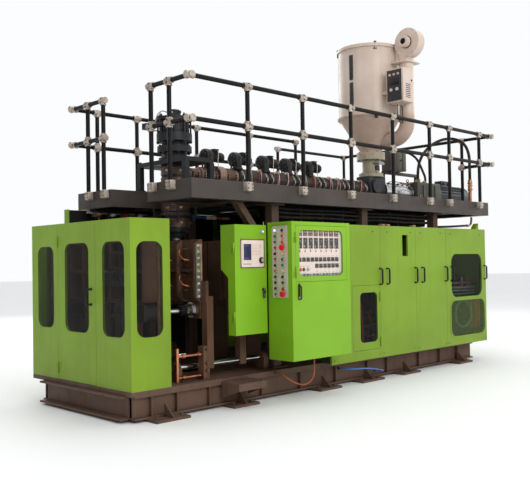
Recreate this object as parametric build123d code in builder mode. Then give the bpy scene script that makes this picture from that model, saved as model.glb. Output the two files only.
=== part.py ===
from build123d import *

import math
import os

os.makedirs("parts", exist_ok=True)

# Blow moulding machine: extruder on a railed deck, clamp and cabinets below it.
# The origin is on the floor under the axis of the die head, X runs along the
# extruder, Y to the rear and Z up.

# General sizes
gap = 0.3
sheet = 3
seam = 3
pan_depth = 25
floor_z = 0

# Base
base_left = -1345
base_right = 4550
base_front = -1063
base_rear = 640
plate_rear = 790
foot_thick = 25
beam_h = 220
base_plate_t = 42
beam_w = 100
beam_web = 14
beam_flange = 18
drop_half_x = 230
drop_half_y = 420
beam_top = foot_thick + beam_h
bed_z = beam_top + base_plate_t
foot_spans = [(-1170, -781), (-224, 120), (1060, 1430), (1818, 2241), (2644, 3007), (3953, 4288)]
foot_reach = 150
foot_bolt_r = 14
gland_r = 14
gland_l = 20
cable_end_x = 500
hose_start = (1580, 190)
hose_end = (2275, 96)
hose_gland_y = -1066
foot_bolt_h = 18

step_x0 = -268
step_x1 = 107
step_front = -1330

# Deck
deck_left = -615
deck_right = 5087
deck_half = 1063
wing_x = 3450
wing_y = 1723
notch_front = -324
notch_rear = 363
notch_x = 330
deck_top = 2292
fascia_h = 194
deck_plate_t = 6
channel_web = 12
channel_flange = 14
channel_w = 80
joist_h = 150
joist_flange_w = 70
stringer_y = 620
joist_xs = [1500, 2900, 3600, 4200, 4700]
bearer_w = 140
floor_seam = 2
fascia_z = deck_top - fascia_h
plate_z = deck_top - deck_plate_t

# Deck columns
column_w = 113
column_xs = [692, 2290, 3890]
column_rear_xs = [650, 2290, 3890]
column_front_y = -856
column_rear_y = 555
wing_column_x = 4980
wing_column_y = 1600
column_plate_w = 210
column_plate_t = 16
strut_rise = 500
strut_run = 420
strut_foot = 120
strut_top = 100

# Guard rails
pipe_r = 24.15
rail_out = 33
rail_top_h = 1000
rail_mid_h = 577
joint_r = 32
joint_len = 104
rail_foot_h = 85
rail_foot_w = 90
rail_foot_t = 8
front_posts = [119, 964, 1815, 2658, 3495, 3981, 4795]
back_posts = [-325, 250, 1220, 2200, 3170]
left_front_posts = [-765, -454]
left_rear_posts = [449, 775]
right_post = -615

# Clamp guard
guard_left = -1340
guard_right = -890
guard_front = -1063
guard_rear = 798
guard_z0 = bed_z
guard_z1 = 1880
door_rear = 247
door_front = -473
guard_tube = 40
guard_angle = 8
window_r = 95
door_handle_y = -396
door_handle_z0 = 1068
door_handle_z1 = 1217

# Clamp
platen_gap = 488
platen_t = 34
platen_half = 763
platen_z0 = 1049
platen_z1 = 1700
rib_t = 30
rib_reach = 72
guide_y = 813
guide_z = 415
guide_r = 30
guide_left = 690
guide_right = 580
leg_w = 85
rod_y = 672
rod_z = 970
rod_r = 27.5
nut_r = 60
rod_lug = 90
casting_in = 725
casting_out = 955
casting_half_y = 700
casting_z1 = 1700
barrel_r = 82
barrel_end = 985
brace_z = 1380
clamp_open = 100

# Die head
head_r = 150
head_bottom = 1743
bridge_z0 = 2563
bridge_z1 = 2612
bridge_x = 205
bridge_y = 450
bridge_leg = 60
neck_r = 125
flange_low_r = 196
flange_low_z0 = 2708
flange_low_z1 = 2777
flange_high_r = 202
flange_high_z0 = 2831
flange_high_z1 = 2923
drum_r = 173
drum_z1 = 3106
cap_r = 77
cap_z0 = 3119
cap_z1 = 3199
pin_r = 58
pin_drop = 45
tie_r = 11
tie_circle = 186
head_box_out = 355
head_box_y = 90
head_box_z = 2950

# Extruder
axis_z = 2485
adapter_r = 91
ring_r = 122
ring_x0 = 590
ring_x1 = 690
cover_r = 118
cover_x1 = 905
barrel_x1 = 3400
barrel_bore = 76
screw_r = 75
screw_root = 61
casting_x0 = 3427
casting_x1 = 3806
casting_r = 128
throat_x = 3620
throat_r = 125
throat_flange_r = 177
throat_z0 = 2674
throat_z1 = 2726
throat_top_r = 207
throat_top_z0 = 2922
throat_top_z1 = 3012
coupling_r = 135
gearbox_x0 = 4521
gearbox_x1 = 5157
gearbox_half = 195
gearbox_z1 = 2655
motor_x1 = 6063
motor_r = 178
motor_fins = 20
fan_cowl = 150
motor_foot_x0 = 5250
motor_foot_x1 = 5800
blower_xs = [465, 918, 1386, 1803, 2217]
blower_z = 2712
scroll_r = 88
scroll_w = 110
blower_motor_r = 62
blower_motor_l = 170

# Hopper dryer
dryer_r = 454
dryer_z0 = 3534
dryer_z1 = 4520
cone_r = 199
lid_h = 60
lid_r = 466
rim_w = 16
duct_r = 105
elbow_bend = 240
elbow_z = 3430
duct_flange_z = 4246
duct_flange_t = 16
chin_z = 4400
duct_x = 3690
duct_y = -608
blower_wheel_x = 3665
blower_wheel_y = -688
blower_wheel_z = 4520
blower_wheel_r = 203
blower_wheel_w = 150
dryer_box_x0 = 3335
dryer_box_x1 = 3570
dryer_box_y0 = -797
dryer_box_y1 = -517
dryer_box_z0 = 3640
dryer_box_z1 = 4112

# Right hand covers
cover_front = -1213
cover_z0 = 272
cover_z1 = 1875
cover_left = 1254
cover_right = 4700
cover_seams = [2190, 2941, 3659]
cover_rear = 738
slot = (2653, 2773, 1501, 1768)
look_window = (3784, 4584, 929, 1523)
mesh_window = (3758, 4644, 392, 881)
mesh_window_r = 110
look_window_r = 120
mesh_ring = 26
access = (1641, 2167, 386, 1157)
access_window = (1784, 2114, 475, 1069)
side_window = (1330, 1560, 475, 1069)
frame_w = 50
handle_xs = [2199 - 22, 2321, 2942 - 22, 3077, 3648 - 22, 3773, 4656]
handle_z0 = 1160
handle_z1 = 1350
handle_bar_r = 8
handle_reach = 42

# Electrical cabinet
cabinet_x0 = 316
cabinet_x1 = 1241
cabinet_front = -1513
cabinet_back = -1163
cabinet_z0 = 433
cabinet_z1 = 1866
cabinet_door_x0 = 370
cabinet_door_x1 = 1185
cabinet_door_z0 = 1241
cabinet_door_z1 = 1827
cabinet_window = (428, 1118, 1297, 1777)
button_y0 = -1453
button_y1 = -1233
button_z0 = 1081
button_z1 = 1828
button_r = 15
button_h = 14
mushroom_r = 30
stem_r = 12
button_cols = (-1290, -1395)
button_pitch = 60
button_rows = 12
mushroom_rows = (3, 11)
button_plate = 6

# Parison control box
box_x0 = -150
box_x1 = 295
box_front = -1163
box_back = -947
box_waist_z1 = 1384
box_waist_z0 = 1297
box_low_back = -1054
box_z0 = 712
box_z1 = 1839
screen_panel = (-76, 263, 1394, 1691)
lcd = (-36, 72, 1476, 1640)
knob_x = 212
knob_z = 1472
knob_r = 30
lamp_x = 229
lamp_z = 1769
lock_x = 240
lock_z = 1168

# Hinges
knuckle_r = 8
leaf_len = 34
leaf_t = 3


def block(x0, x1, y0, y1, z0, z1, mode=Mode.ADD):
    with Locations(((x0 + x1) / 2, (y0 + y1) / 2, (z0 + z1) / 2)):
        Box(x1 - x0, y1 - y0, z1 - z0, mode=mode)


def rod_x(x0, x1, y, z, radius, mode=Mode.ADD):
    with Locations(Location(((x0 + x1) / 2, y, z), (0, 90, 0))):
        Cylinder(radius, x1 - x0, mode=mode)


def rod_y_dir(y0, y1, x, z, radius, mode=Mode.ADD):
    with Locations(Location((x, (y0 + y1) / 2, z), (90, 0, 0))):
        Cylinder(radius, y1 - y0, mode=mode)


def rod_up(z0, z1, x, y, radius, mode=Mode.ADD):
    with Locations((x, y, (z0 + z1) / 2)):
        Cylinder(radius, z1 - z0, mode=mode)


def facing_left(x):
    return Plane(origin=(x, 0, 0), x_dir=(0, 1, 0), z_dir=(1, 0, 0))


def facing_front(y):
    return Plane(origin=(0, y, 0), x_dir=(1, 0, 0), z_dir=(0, -1, 0))


def i_beam(plane, length, height, width, web, flange):
    with BuildPart() as beam:
        with BuildSketch(plane):
            Rectangle(width, height)
            with Locations(((width + web) / 4, 0), (-(width + web) / 4, 0)):
                Rectangle((width - web) / 2, height - 2 * flange, mode=Mode.SUBTRACT)
        extrude(amount=length)
    return beam.part


def pan_panel(plane, span, inward, depth, windows):
    a0, a1, b0, b1 = span
    with BuildPart() as panel:
        with BuildSketch(plane):
            with Locations(((a0 + a1) / 2, (b0 + b1) / 2)):
                Rectangle(a1 - a0, b1 - b0)
            for w0, w1, w2, w3, radius in windows:
                with Locations(((w0 + w1) / 2, (w2 + w3) / 2)):
                    RectangleRounded(w1 - w0, w3 - w2, radius, mode=Mode.SUBTRACT)
        extrude(amount=inward * depth)
        with BuildSketch(plane.offset(inward * sheet)):
            with Locations(((a0 + a1) / 2, (b0 + b1) / 2)):
                Rectangle(a1 - a0 - 2 * sheet, b1 - b0 - 2 * sheet)
            for w0, w1, w2, w3, radius in windows:
                with Locations(((w0 + w1) / 2, (w2 + w3) / 2)):
                    RectangleRounded(
                        w1 - w0 + 2 * sheet, w3 - w2 + 2 * sheet, radius + sheet, mode=Mode.SUBTRACT
                    )
        extrude(amount=inward * depth, mode=Mode.SUBTRACT)
    return panel.part


def cord(points, diameter, name):
    route_points = [Vector(*p) for p in points]
    radii = []
    for i in range(1, len(route_points) - 1):
        before = route_points[i] - route_points[i - 1]
        after = route_points[i + 1] - route_points[i]
        turn = math.radians(before.get_angle(after))
        radii.append(0.45 * min(before.length, after.length) / math.tan(turn / 2))
    with BuildPart() as tube:
        with BuildLine() as route:
            FilletPolyline(*points, radius=radii)
        with BuildSketch(Plane(origin=points[0], z_dir=route_points[1] - route_points[0])):
            Circle(diameter / 2)
        sweep(path=route.wires()[0])
    length = route.wires()[0].length
    ratio = tube.part.volume / (length * math.pi * diameter**2 / 4)
    print(
        name, "length", round(length), "radii", [round(r) for r in radii], "volume ratio",
        round(ratio, 4),
    )
    return tube.part


# Base frame: two long beams, cross beams and foot plates with their gussets
front_beam = i_beam(
    Plane(
        origin=(base_left + 40, base_front + beam_w / 2, foot_thick + beam_h / 2),
        x_dir=(0, 1, 0), z_dir=(1, 0, 0),
    ),
    base_right - base_left - 40, beam_h, beam_w, beam_web, beam_flange,
)
rear_beam = i_beam(
    Plane(
        origin=(base_left + 40, base_rear - beam_w / 2, foot_thick + beam_h / 2),
        x_dir=(0, 1, 0), z_dir=(1, 0, 0),
    ),
    base_right - base_left - 40, beam_h, beam_w, beam_web, beam_flange,
)
cross_xs = [-1301, -500, 620, 1700, 2830, 4400]
cross_w = 200
cross_beams = [
    i_beam(
        Plane(
            origin=(x, base_front + beam_w, foot_thick + beam_h / 2), x_dir=(-1, 0, 0), z_dir=(0, 1, 0)
        ),
        base_rear - base_front - 2 * beam_w, beam_h, cross_w, beam_web, beam_flange,
    )
    for x in cross_xs
]
stiffener_xs = [-1120, -820, -420, 300, 900, 1500, 2100, 2500, 3200, 3700, 4150]
stiffener_t = 12
front_web = base_front + beam_w / 2 - beam_web / 2

with BuildPart() as base_frame:
    add(front_beam)
    add(rear_beam)
    add(cross_beams)
    # web stiffeners on the outer side of the front beam
    for x in stiffener_xs:
        block(
            x, x + stiffener_t, base_front + 4, front_web, foot_thick + beam_flange,
            beam_top - beam_flange,
        )
    # foot plates with a slanted gusset and two anchor bolts each
    for x0, x1 in foot_spans:
        middle = (x0 + x1) / 2
        block(x0, x1, base_front - foot_reach, base_front + beam_w, floor_z, foot_thick)
        with BuildSketch(facing_left(middle - stiffener_t / 2)):
            with BuildLine():
                Polyline(
                    (base_front - foot_reach + 12, foot_thick),
                    (base_front, foot_thick),
                    (base_front, foot_thick + 120),
                    (base_front - 16, foot_thick + 120),
                    (base_front - foot_reach + 12, foot_thick + 14),
                    close=True,
                )
            make_face()
        extrude(amount=stiffener_t)
        for x in (x0 + 50, x1 - 50):
            rod_up(foot_thick, foot_thick + foot_bolt_h, x, base_front - foot_reach / 2, foot_bolt_r)
        block(x0, x1, base_rear - beam_w, base_rear + 60, floor_z, foot_thick)
    # hose glands on the web of the front beam
    for x, z in (hose_start, hose_end):
        rod_y_dir(hose_gland_y, front_web, x, z, gland_r)
    # step in front of the control box, bracketed from the front beam
    block(step_x0, step_x1, step_front, base_front, beam_top, beam_top + 12)
    block(step_x0, step_x1, step_front, step_front + 12, beam_top - 60, beam_top)
    block(step_x0, step_x1, base_front - 12, base_front, beam_top - 60, beam_top)
    for x in (step_x0, step_x1 - 12):
        with BuildSketch(facing_left(x)):
            with BuildLine():
                Polyline(
                    (step_front + 12, beam_top), (base_front, beam_top), (base_front, beam_top - 150),
                    (step_front + 12, beam_top - 60), close=True,
                )
            make_face()
        extrude(amount=12)
base_frame.part.label = "base_frame"
export_step(base_frame.part, "parts/base_frame.step")

# Bed plate that carries the clamp and the columns, open under the die
with BuildPart() as bed_plate:
    with BuildSketch(Plane.XY.offset(beam_top)):
        with Locations(((base_left + cover_right) / 2, (base_front + plate_rear) / 2)):
            Rectangle(cover_right - base_left, plate_rear - base_front)
        Rectangle(2 * drop_half_x, 2 * drop_half_y, mode=Mode.SUBTRACT)
    extrude(amount=base_plate_t)
    upright = bed_plate.edges().filter_by(Axis.Z)
    edges_of_drop = upright.sort_by(lambda e: abs(e.center().X) + abs(e.center().Y))[:4]
    fillet(edges_of_drop, 40)
    # cable gland on the front edge
    rod_y_dir(base_front - gland_l, base_front, cable_end_x, beam_top + base_plate_t / 2, gland_r)
bed_plate.part.label = "bed_plate"
export_step(bed_plate.part, "parts/bed_plate.step")

# Columns between the bed plate and the deck
plate_half = column_plate_w / 2
with BuildPart() as deck_columns:
    for y, row_xs in ((column_front_y, column_xs), (column_rear_y, column_rear_xs)):
        for x in row_xs:
            with BuildSketch(Plane.XY.offset(bed_z)):
                with Locations((x, y)):
                    RectangleRounded(column_w, column_w, 10)
            extrude(amount=fascia_z - bed_z)
            for z in (bed_z, fascia_z - column_plate_t):
                block(
                    x - plate_half, x + plate_half, y - plate_half, y + plate_half, z,
                    z + column_plate_t,
                )
    # wing columns stand on the floor
    for x in (wing_x + 110, wing_column_x):
        with BuildSketch(Plane.XY.offset(floor_z)):
            with Locations((x, wing_column_y)):
                RectangleRounded(column_w, column_w, 10)
        extrude(amount=fascia_z - floor_z)
        block(
            x - plate_half, x + plate_half, wing_column_y - plate_half, wing_column_y + plate_half,
            floor_z, foot_thick,
        )
    # raking struts carry the deck over the clamp
    for y, row_xs in ((column_front_y, column_xs), (column_rear_y, column_rear_xs)):
        face = row_xs[0] - column_w / 2
        with BuildSketch(Plane(origin=(0, y + 40, 0), x_dir=(1, 0, 0), z_dir=(0, -1, 0))):
            with BuildLine():
                Polyline(
                    (face, fascia_z - strut_rise - strut_foot), (face, fascia_z - strut_rise),
                    (face - strut_run, fascia_z), (face - strut_run - strut_top, fascia_z), close=True,
                )
            make_face()
        extrude(amount=80)
deck_columns.part.label = "deck_columns"
export_step(deck_columns.part, "parts/deck_columns.step")

# Deck frame: a channel all round, open towards the inside, and joists
deck_outline = [
    (deck_left, -deck_half), (deck_right, -deck_half), (deck_right, wing_y), (wing_x, wing_y),
    (wing_x, deck_half),
    (deck_left, deck_half), (deck_left, notch_rear), (notch_x, notch_rear), (notch_x, notch_front),
    (deck_left, notch_front),
]
bearer_reach = deck_half - channel_w - gap
bearers = [((a + b) / 2, -bearer_reach, bearer_reach) for a, b in zip(column_xs, column_rear_xs)]
front_strut_x = column_xs[0] - column_w / 2 - strut_run - strut_top / 2
rear_strut_x = column_rear_xs[0] - column_w / 2 - strut_run - strut_top / 2
bearers.append((front_strut_x, -bearer_reach, notch_front - channel_w - gap))
bearers.append((rear_strut_x, notch_rear + channel_w + gap, bearer_reach))
cross_members = sorted(
    [(x, joist_flange_w / 2) for x in joist_xs]
    + [((a + b) / 2, bearer_w / 2) for a, b in zip(column_xs, column_rear_xs)]
)
with BuildPart() as deck_frame:
    with BuildSketch(Plane.XY.offset(fascia_z)):
        with BuildLine():
            Polyline(*deck_outline, close=True)
        make_face()
    extrude(amount=plate_z - fascia_z)
    with BuildSketch(Plane.XY.offset(fascia_z + channel_flange)):
        with BuildLine():
            Polyline(*deck_outline, close=True)
        make_face()
        offset(amount=-channel_web, kind=Kind.INTERSECTION, mode=Mode.REPLACE)
    extrude(amount=plate_z - fascia_z - 2 * channel_flange, mode=Mode.SUBTRACT)
    with BuildSketch(Plane.XY.offset(fascia_z)):
        with BuildLine():
            Polyline(*deck_outline, close=True)
        make_face()
        offset(amount=-channel_w, kind=Kind.INTERSECTION, mode=Mode.REPLACE)
    extrude(amount=plate_z - fascia_z, mode=Mode.SUBTRACT)
    for x in joist_xs:
        half = joist_flange_w / 2
        rear = (wing_y if x > wing_x else deck_half) - channel_w - gap
        block(x - 6, x + 6, -bearer_reach, rear, plate_z - joist_h, plate_z)
        block(x - half, x + half, -bearer_reach, rear, plate_z - joist_h, plate_z - joist_h + 10)
    # stringers between the joists and bearers
    for (x0, half0), (x1, half1) in zip(cross_members, cross_members[1:]):
        for y in (-stringer_y, stringer_y):
            block(x0 + half0 + gap, x1 - half1 - gap, y - 6, y + 6, plate_z - joist_h, plate_z)
    # bearers over the columns, and over the struts on both sides of the notch
    for x, y0, y1 in bearers:
        half = bearer_w / 2
        block(x - 6, x + 6, y0, y1, fascia_z, plate_z)
        block(x - half, x + half, y0, y1, fascia_z, fascia_z + channel_flange)
        block(x - half, x + half, y0, y1, plate_z - channel_flange, plate_z)
deck_frame.part.label = "deck_frame"
export_step(deck_frame.part, "parts/deck_frame.step")

# Deck floor: chequer plate sheets laid side by side, with a narrow seam over the joists
sheet_xs = [notch_x, joist_xs[0], joist_xs[1], wing_x, joist_xs[3], deck_right]
floor_sheets = [
    (deck_left, notch_x - floor_seam, -deck_half, notch_front),
    (deck_left, notch_x - floor_seam, notch_rear, deck_half),
    (wing_x, deck_right, deck_half + floor_seam, wing_y),
]
for start, end in zip(sheet_xs, sheet_xs[1:]):
    floor_sheets.append((start, end if end == deck_right else end - floor_seam, -deck_half, deck_half))
with BuildPart() as deck_plate:
    for x0, x1, y0, y1 in floor_sheets:
        block(x0, x1, y0, y1, plate_z, plate_z + deck_plate_t)
deck_plate.part.label = "deck_plate"
export_step(deck_plate.part, "parts/deck_plate.step")

# Guard rails: straight pipes end on the clamp fittings
rail_top = deck_top + rail_top_h
rail_mid = deck_top + rail_mid_h
rail_front = -deck_half - rail_out
rail_left = deck_left - rail_out
rail_right = deck_right + rail_out
rail_back = deck_half + rail_out
rail_wing = wing_y + rail_out
joint_half = joint_len / 2
post_foot = deck_top - rail_foot_h

# each fitting: position and the directions in which pipes leave it
fittings = {}


def fitting(x, y, z, *ways):
    fittings.setdefault((round(x, 3), round(y, 3), round(z, 3)), set()).update(ways)


pipes = []


def rail_run(stations, z):
    for start, end in zip(stations, stations[1:]):
        pipes.append((start[0], start[1], z, end[0], end[1], z))
        along = "x" if abs(end[0] - start[0]) > abs(end[1] - start[1]) else "y"
        fitting(start[0], start[1], z, along)
        fitting(end[0], end[1], z, along)


def post(x, y):
    pipes.append((x, y, post_foot, x, y, rail_mid))
    pipes.append((x, y, rail_mid, x, y, rail_top))
    fitting(x, y, rail_mid, "z")
    fitting(x, y, rail_top, "z")


left_end_y = left_front_posts[1]
rear_start_y = left_rear_posts[0]
front_line = [(x, rail_front) for x in front_posts]
for z in (rail_top, rail_mid):
    rail_run(
        [(rail_left, left_end_y), (rail_left, left_front_posts[0]), (rail_left, rail_front)]
        + front_line + [(rail_right, rail_front)],
        z,
    )
    rail_run(
        [(rail_left, rear_start_y), (rail_left, left_rear_posts[1]), (rail_left, rail_back)]
        + [(x, rail_back) for x in back_posts],
        z,
    )
rail_run(
    [(rail_right, rail_front), (rail_right, right_post), (rail_right, rail_wing), (wing_x, rail_wing)],
    rail_top,
)
rail_run([(rail_right, rail_front), (rail_right, right_post)], rail_mid)
rail_run([(rail_right, rail_wing), (wing_x, rail_wing)], rail_mid)
for x in front_posts:
    post(x, rail_front)
for x in back_posts:
    post(x, rail_back)
for y in left_front_posts + left_rear_posts:
    post(rail_left, y)
post(rail_right, right_post)
post(wing_x, rail_wing)
post(rail_right, rail_wing)

def clamp_joint(ways, is_top):
    with BuildPart() as joint:
        if "x" in ways:
            with BuildSketch(Plane(origin=(-joint_half, 0, 0), z_dir=(1, 0, 0))):
                RegularPolygon(joint_r, 8, major_radius=False, rotation=22.5)
            extrude(amount=joint_len)
        if "y" in ways:
            with BuildSketch(Plane(origin=(0, -joint_half, 0), z_dir=(0, 1, 0))):
                RegularPolygon(joint_r, 8, major_radius=False, rotation=22.5)
            extrude(amount=joint_len)
        if "z" in ways:
            with BuildSketch(Plane.XY.offset(-joint_half)):
                RegularPolygon(joint_r - 1, 8, major_radius=False, rotation=22.5)
            extrude(amount=joint_half + (joint_r if is_top else joint_half))
    return joint.part


def rail_foot(turn):
    half = rail_foot_w / 2
    with BuildPart() as foot:
        block(-half, half, rail_out - rail_foot_t, rail_out, -12, rail_foot_h)
        block(-joint_r / 2, joint_r / 2, 0, rail_out, -12, 0)
        rod_up(-12, 0, 0, 0, joint_r)
    return Rot(0, 0, turn) * foot.part


joint_shapes = {}
joint_solids = []
for (x, y, z), ways in fittings.items():
    kind = (tuple(sorted(ways)), z == rail_top)
    if kind not in joint_shapes:
        joint_shapes[kind] = clamp_joint(*kind)
    joint_solids.append(Pos(x, y, z) * joint_shapes[kind])
foot_shapes = {turn: rail_foot(turn) for turn in (0, 90, 180, -90)}
for x0, y0, z0, x1, y1, z1 in pipes:
    if z0 == post_foot and z1 == rail_mid:
        turn = -90 if x0 == rail_left else 90 if x0 == rail_right else 0 if y0 == rail_front else 180
        joint_solids.append(Pos(x0, y0, post_foot) * foot_shapes[turn])
with BuildPart() as rail_joints:
    add(joint_solids)
rail_joints.part.label = "rail_joints"
export_step(rail_joints.part, "parts/rail_joints.step")

pipe_solids = []
for x0, y0, z0, x1, y1, z1 in pipes:
    start = Vector(x0, y0, z0)
    end = Vector(x1, y1, z1)
    way = (end - start).normalized()
    first = start if z0 == post_foot else start + way * joint_half
    last = end - way * joint_half
    middle_point = (first + last) * 0.5
    pipe_solids.append(
        Plane(origin=middle_point, z_dir=way) * Cylinder(pipe_r, (last - first).length)
    )
with BuildPart() as rail_pipes:
    add(pipe_solids)
rail_pipes.part.label = "rail_pipes"
export_step(rail_pipes.part, "parts/rail_pipes.step")

# Clamp guard: sheet pans with rounded windows on a tube frame, open on top
end_plane = facing_left(guard_left)
window_fixed = (334, 668, 805, 1651, window_r)
window_door = (-349, 104, 786, 1671, window_r)
window_near = (-966, -595, 774, 1669, window_r)
window_front = (-1274, -977, 773, 1664, window_r)
frame_x = guard_left + pan_depth + gap
frame_y0 = guard_front + pan_depth + gap
frame_y1 = guard_rear - pan_depth - gap
end_fixed = pan_panel(
    end_plane, (door_rear + seam, guard_rear, guard_z0, guard_z1), 1, pan_depth, [window_fixed],
)
end_near = pan_panel(
    end_plane, (guard_front, door_front - seam, guard_z0, guard_z1), 1, pan_depth, [window_near],
)
side_span = (frame_x, guard_right, guard_z0, guard_z1)
front_pan = pan_panel(facing_front(guard_front), side_span, -1, pan_depth, [window_front])
rear_pan = pan_panel(facing_front(guard_rear), side_span, 1, pan_depth, [])
with BuildPart() as guard_panels:
    add(end_fixed)
    add(end_near)
    add(front_pan)
    add(rear_pan)
    # tube frame behind the pans
    post_top = guard_z1 - guard_tube - gap
    for y0 in (frame_y0, door_front - guard_tube - seam, door_rear + seam, frame_y1 - guard_tube):
        block(frame_x, frame_x + guard_tube, y0, y0 + guard_tube, guard_z0, post_top)
    block(frame_x, frame_x + guard_tube, frame_y0, frame_y1, guard_z1 - guard_tube, guard_z1)
    for y0, width in ((frame_y0, guard_tube), (frame_y1 - guard_angle, guard_angle)):
        block(guard_right - guard_tube, guard_right, y0, y0 + width, guard_z0, post_top)
        block(frame_x + guard_tube + gap, guard_right, y0, y0 + width, guard_z1 - guard_tube, guard_z1)
guard_panels.part.label = "guard_panels"
export_step(guard_panels.part, "parts/guard_panels.step")

guard_door_pan = pan_panel(
    end_plane, (door_front, door_rear, guard_z0 + seam, guard_z1), 1, pan_depth - gap, [window_door]
)
hinge_x = guard_left - knuckle_r
hinge_y = door_rear + seam / 2
guard_hinge_zs = (406, 1692)
knuckle_h = 55
with BuildPart() as guard_door:
    add(guard_door_pan)
    for z in guard_hinge_zs:
        rod_up(z + gap, z + knuckle_h, hinge_x, hinge_y, knuckle_r)
        block(
            guard_left - leaf_t, guard_left, hinge_y - leaf_len, hinge_y - seam, z + gap, z + knuckle_h,
        )
        block(hinge_x, guard_left, hinge_y - seam - 2, hinge_y - 1, z + gap, z + knuckle_h)
guard_door.part.label = "guard_door"
export_step(guard_door.part, "parts/guard_door.step")


def pull_handle(z0, z1, bar_r, reach):
    with BuildPart() as pull:
        with BuildLine() as bow:
            FilletPolyline(
                (0, 0, z0), (0, -reach, z0), (0, -reach, z1), (0, 0, z1), radius=reach * 0.45,
            )
        with BuildSketch(Plane(origin=(0, 0, z0), z_dir=(0, -1, 0))):
            Circle(bar_r)
        sweep(path=bow.wires()[0])
    return pull.part


guard_pull = Pos(guard_left, door_handle_y, 0) * Rot(0, 0, -90) * pull_handle(
    door_handle_z0, door_handle_z1, 10, 52,
)
with BuildPart() as guard_door_handle:
    add(guard_pull)
guard_door_handle.part.label = "guard_door_handle"
export_step(guard_door_handle.part, "parts/guard_door_handle.step")

# Clamp: two platens on guide bars, each pushed by two cylinders in a rear casting
platen_in = platen_gap / 2


def platen(side):
    face = side * platen_in
    back = side * (platen_in + platen_t)
    rib_end = side * (platen_in + platen_t + rib_reach)
    with BuildPart() as plate:
        block(*sorted((face, back)), -platen_half, platen_half, platen_z0, platen_z1)
        # ribs on the back
        for y in (-platen_half, -480, -180, 150, 450, platen_half - rib_t):
            with BuildSketch(Plane(origin=(0, y, 0), x_dir=(1, 0, 0), z_dir=(0, -1, 0))):
                with BuildLine():
                    Polyline(
                        (back, platen_z0), (rib_end, platen_z0 + 60),
                        (rib_end, platen_z1 - 60), (back, platen_z1), close=True,
                    )
                make_face()
            extrude(amount=-rib_t)
        block(
            *sorted((back, back + side * 46)), -platen_half, platen_half, brace_z - rib_t / 2,
            brace_z + rib_t / 2,
        )
        # lugs at the lower edge take the push rods
        for y in (-rod_y, rod_y):
            block(*sorted((face, back)), y - rod_lug, y + rod_lug, rod_z - rod_lug, platen_z0)
        # clamping slots for the mould on the inner face
        for y in (-520, -260, 0, 260, 520):
            block(
                *sorted((face, face + side * 12)), y - 9, y + 9, platen_z0, platen_z1,
                mode=Mode.SUBTRACT,
            )
        # legs with bushes on the guide bars
        for y in (-guide_y, guide_y):
            inner = platen_half if y > 0 else -platen_half
            leg_x = (side * (platen_in - leg_w * 0.7), side * (platen_in + leg_w * 0.3))
            block(
                *sorted((face, back)), *sorted((inner, y + math.copysign(guide_r + 12, y))), platen_z0,
                platen_z0 + 220,
            )
            block(
                *sorted(leg_x), y - guide_r - 12, y + guide_r + 12, guide_z - guide_r - 16,
                platen_z0 + 60,
            )
            rod_x(min(leg_x) - 1, max(leg_x) + 1, y, guide_z, guide_r + gap, mode=Mode.SUBTRACT)
        # boss round each rod
        for y in (-rod_y, rod_y):
            rod_x(*sorted((back, back + side * 30)), y, rod_z, nut_r + 6)
    return plate.part


left_platen_solid = platen(-1)
right_platen_solid = platen(1)
with BuildPart() as left_platen:
    add(left_platen_solid)
left_platen.part.label = "left_platen"
export_step(left_platen.part, "parts/left_platen.step")


# Rods: nut and flange seat on the platen boss, the rod runs into the cylinder
rod_end = barrel_end - 25 - clamp_open
rod_start = platen_in + platen_t + 30


def push_rods(side):
    with BuildPart() as rods:
        for y in (-rod_y, rod_y):
            rod_x(*sorted((side * rod_start, side * (rod_start + 26))), y, rod_z, nut_r + 22)
            rod_x(*sorted((side * (rod_start + 26), side * (rod_start + 110))), y, rod_z, nut_r)
            rod_x(*sorted((side * (rod_start + 110), side * rod_end)), y, rod_z, rod_r)
    return rods.part


left_rod_solids = push_rods(-1)
right_rod_solids = push_rods(1)
with BuildPart() as left_rods:
    add(left_rod_solids)
left_rods.part.label = "left_rods"
export_step(left_rods.part, "parts/left_rods.step")
with BuildPart() as right_platen:
    add(right_platen_solid)
    add(right_rod_solids)
right_platen.part.label = "right_platen"
export_step(right_platen.part, "parts/right_platen.step")

# Guide bars in pillow blocks on the bed plate
with BuildPart() as guide_bars:
    for y in (-guide_y, guide_y):
        rod_x(-guide_left, guide_right, y, guide_z, guide_r)
guide_bars.part.label = "guide_bars"
export_step(guide_bars.part, "parts/guide_bars.step")

block_w = 70
with BuildPart() as guide_block:
    with BuildSketch(facing_left(-block_w / 2)):
        with Locations((0, (bed_z - guide_z) / 2)):
            Rectangle(2 * guide_r + 70, guide_z - bed_z)
        Circle(guide_r + 28)
        Circle(guide_r + gap, mode=Mode.SUBTRACT)
    extrude(amount=block_w)
guide_block_solids = [
    Pos(x, y, guide_z) * guide_block.part
    for x in (-guide_left + block_w / 2, guide_right - block_w / 2)
    for y in (-guide_y, guide_y)
]

# Water pipe and hose fitting sizes
deck_hose_x = 5045
deck_hose_y = -790
deck_hose_z = 2660
gear_hose_x = 4600
gear_hose_y = -150
pipe_cu_r = 14
water_y = -930
water_x0 = -700
water_x1 = -420

# Rear castings: a ribbed box on two feet, with a plate for each cylinder
casting_z0 = 1060
casting_foot_y = 300
casting_foot_w = 150
casting_wall = 26
cylinder_plate_t = 45


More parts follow.
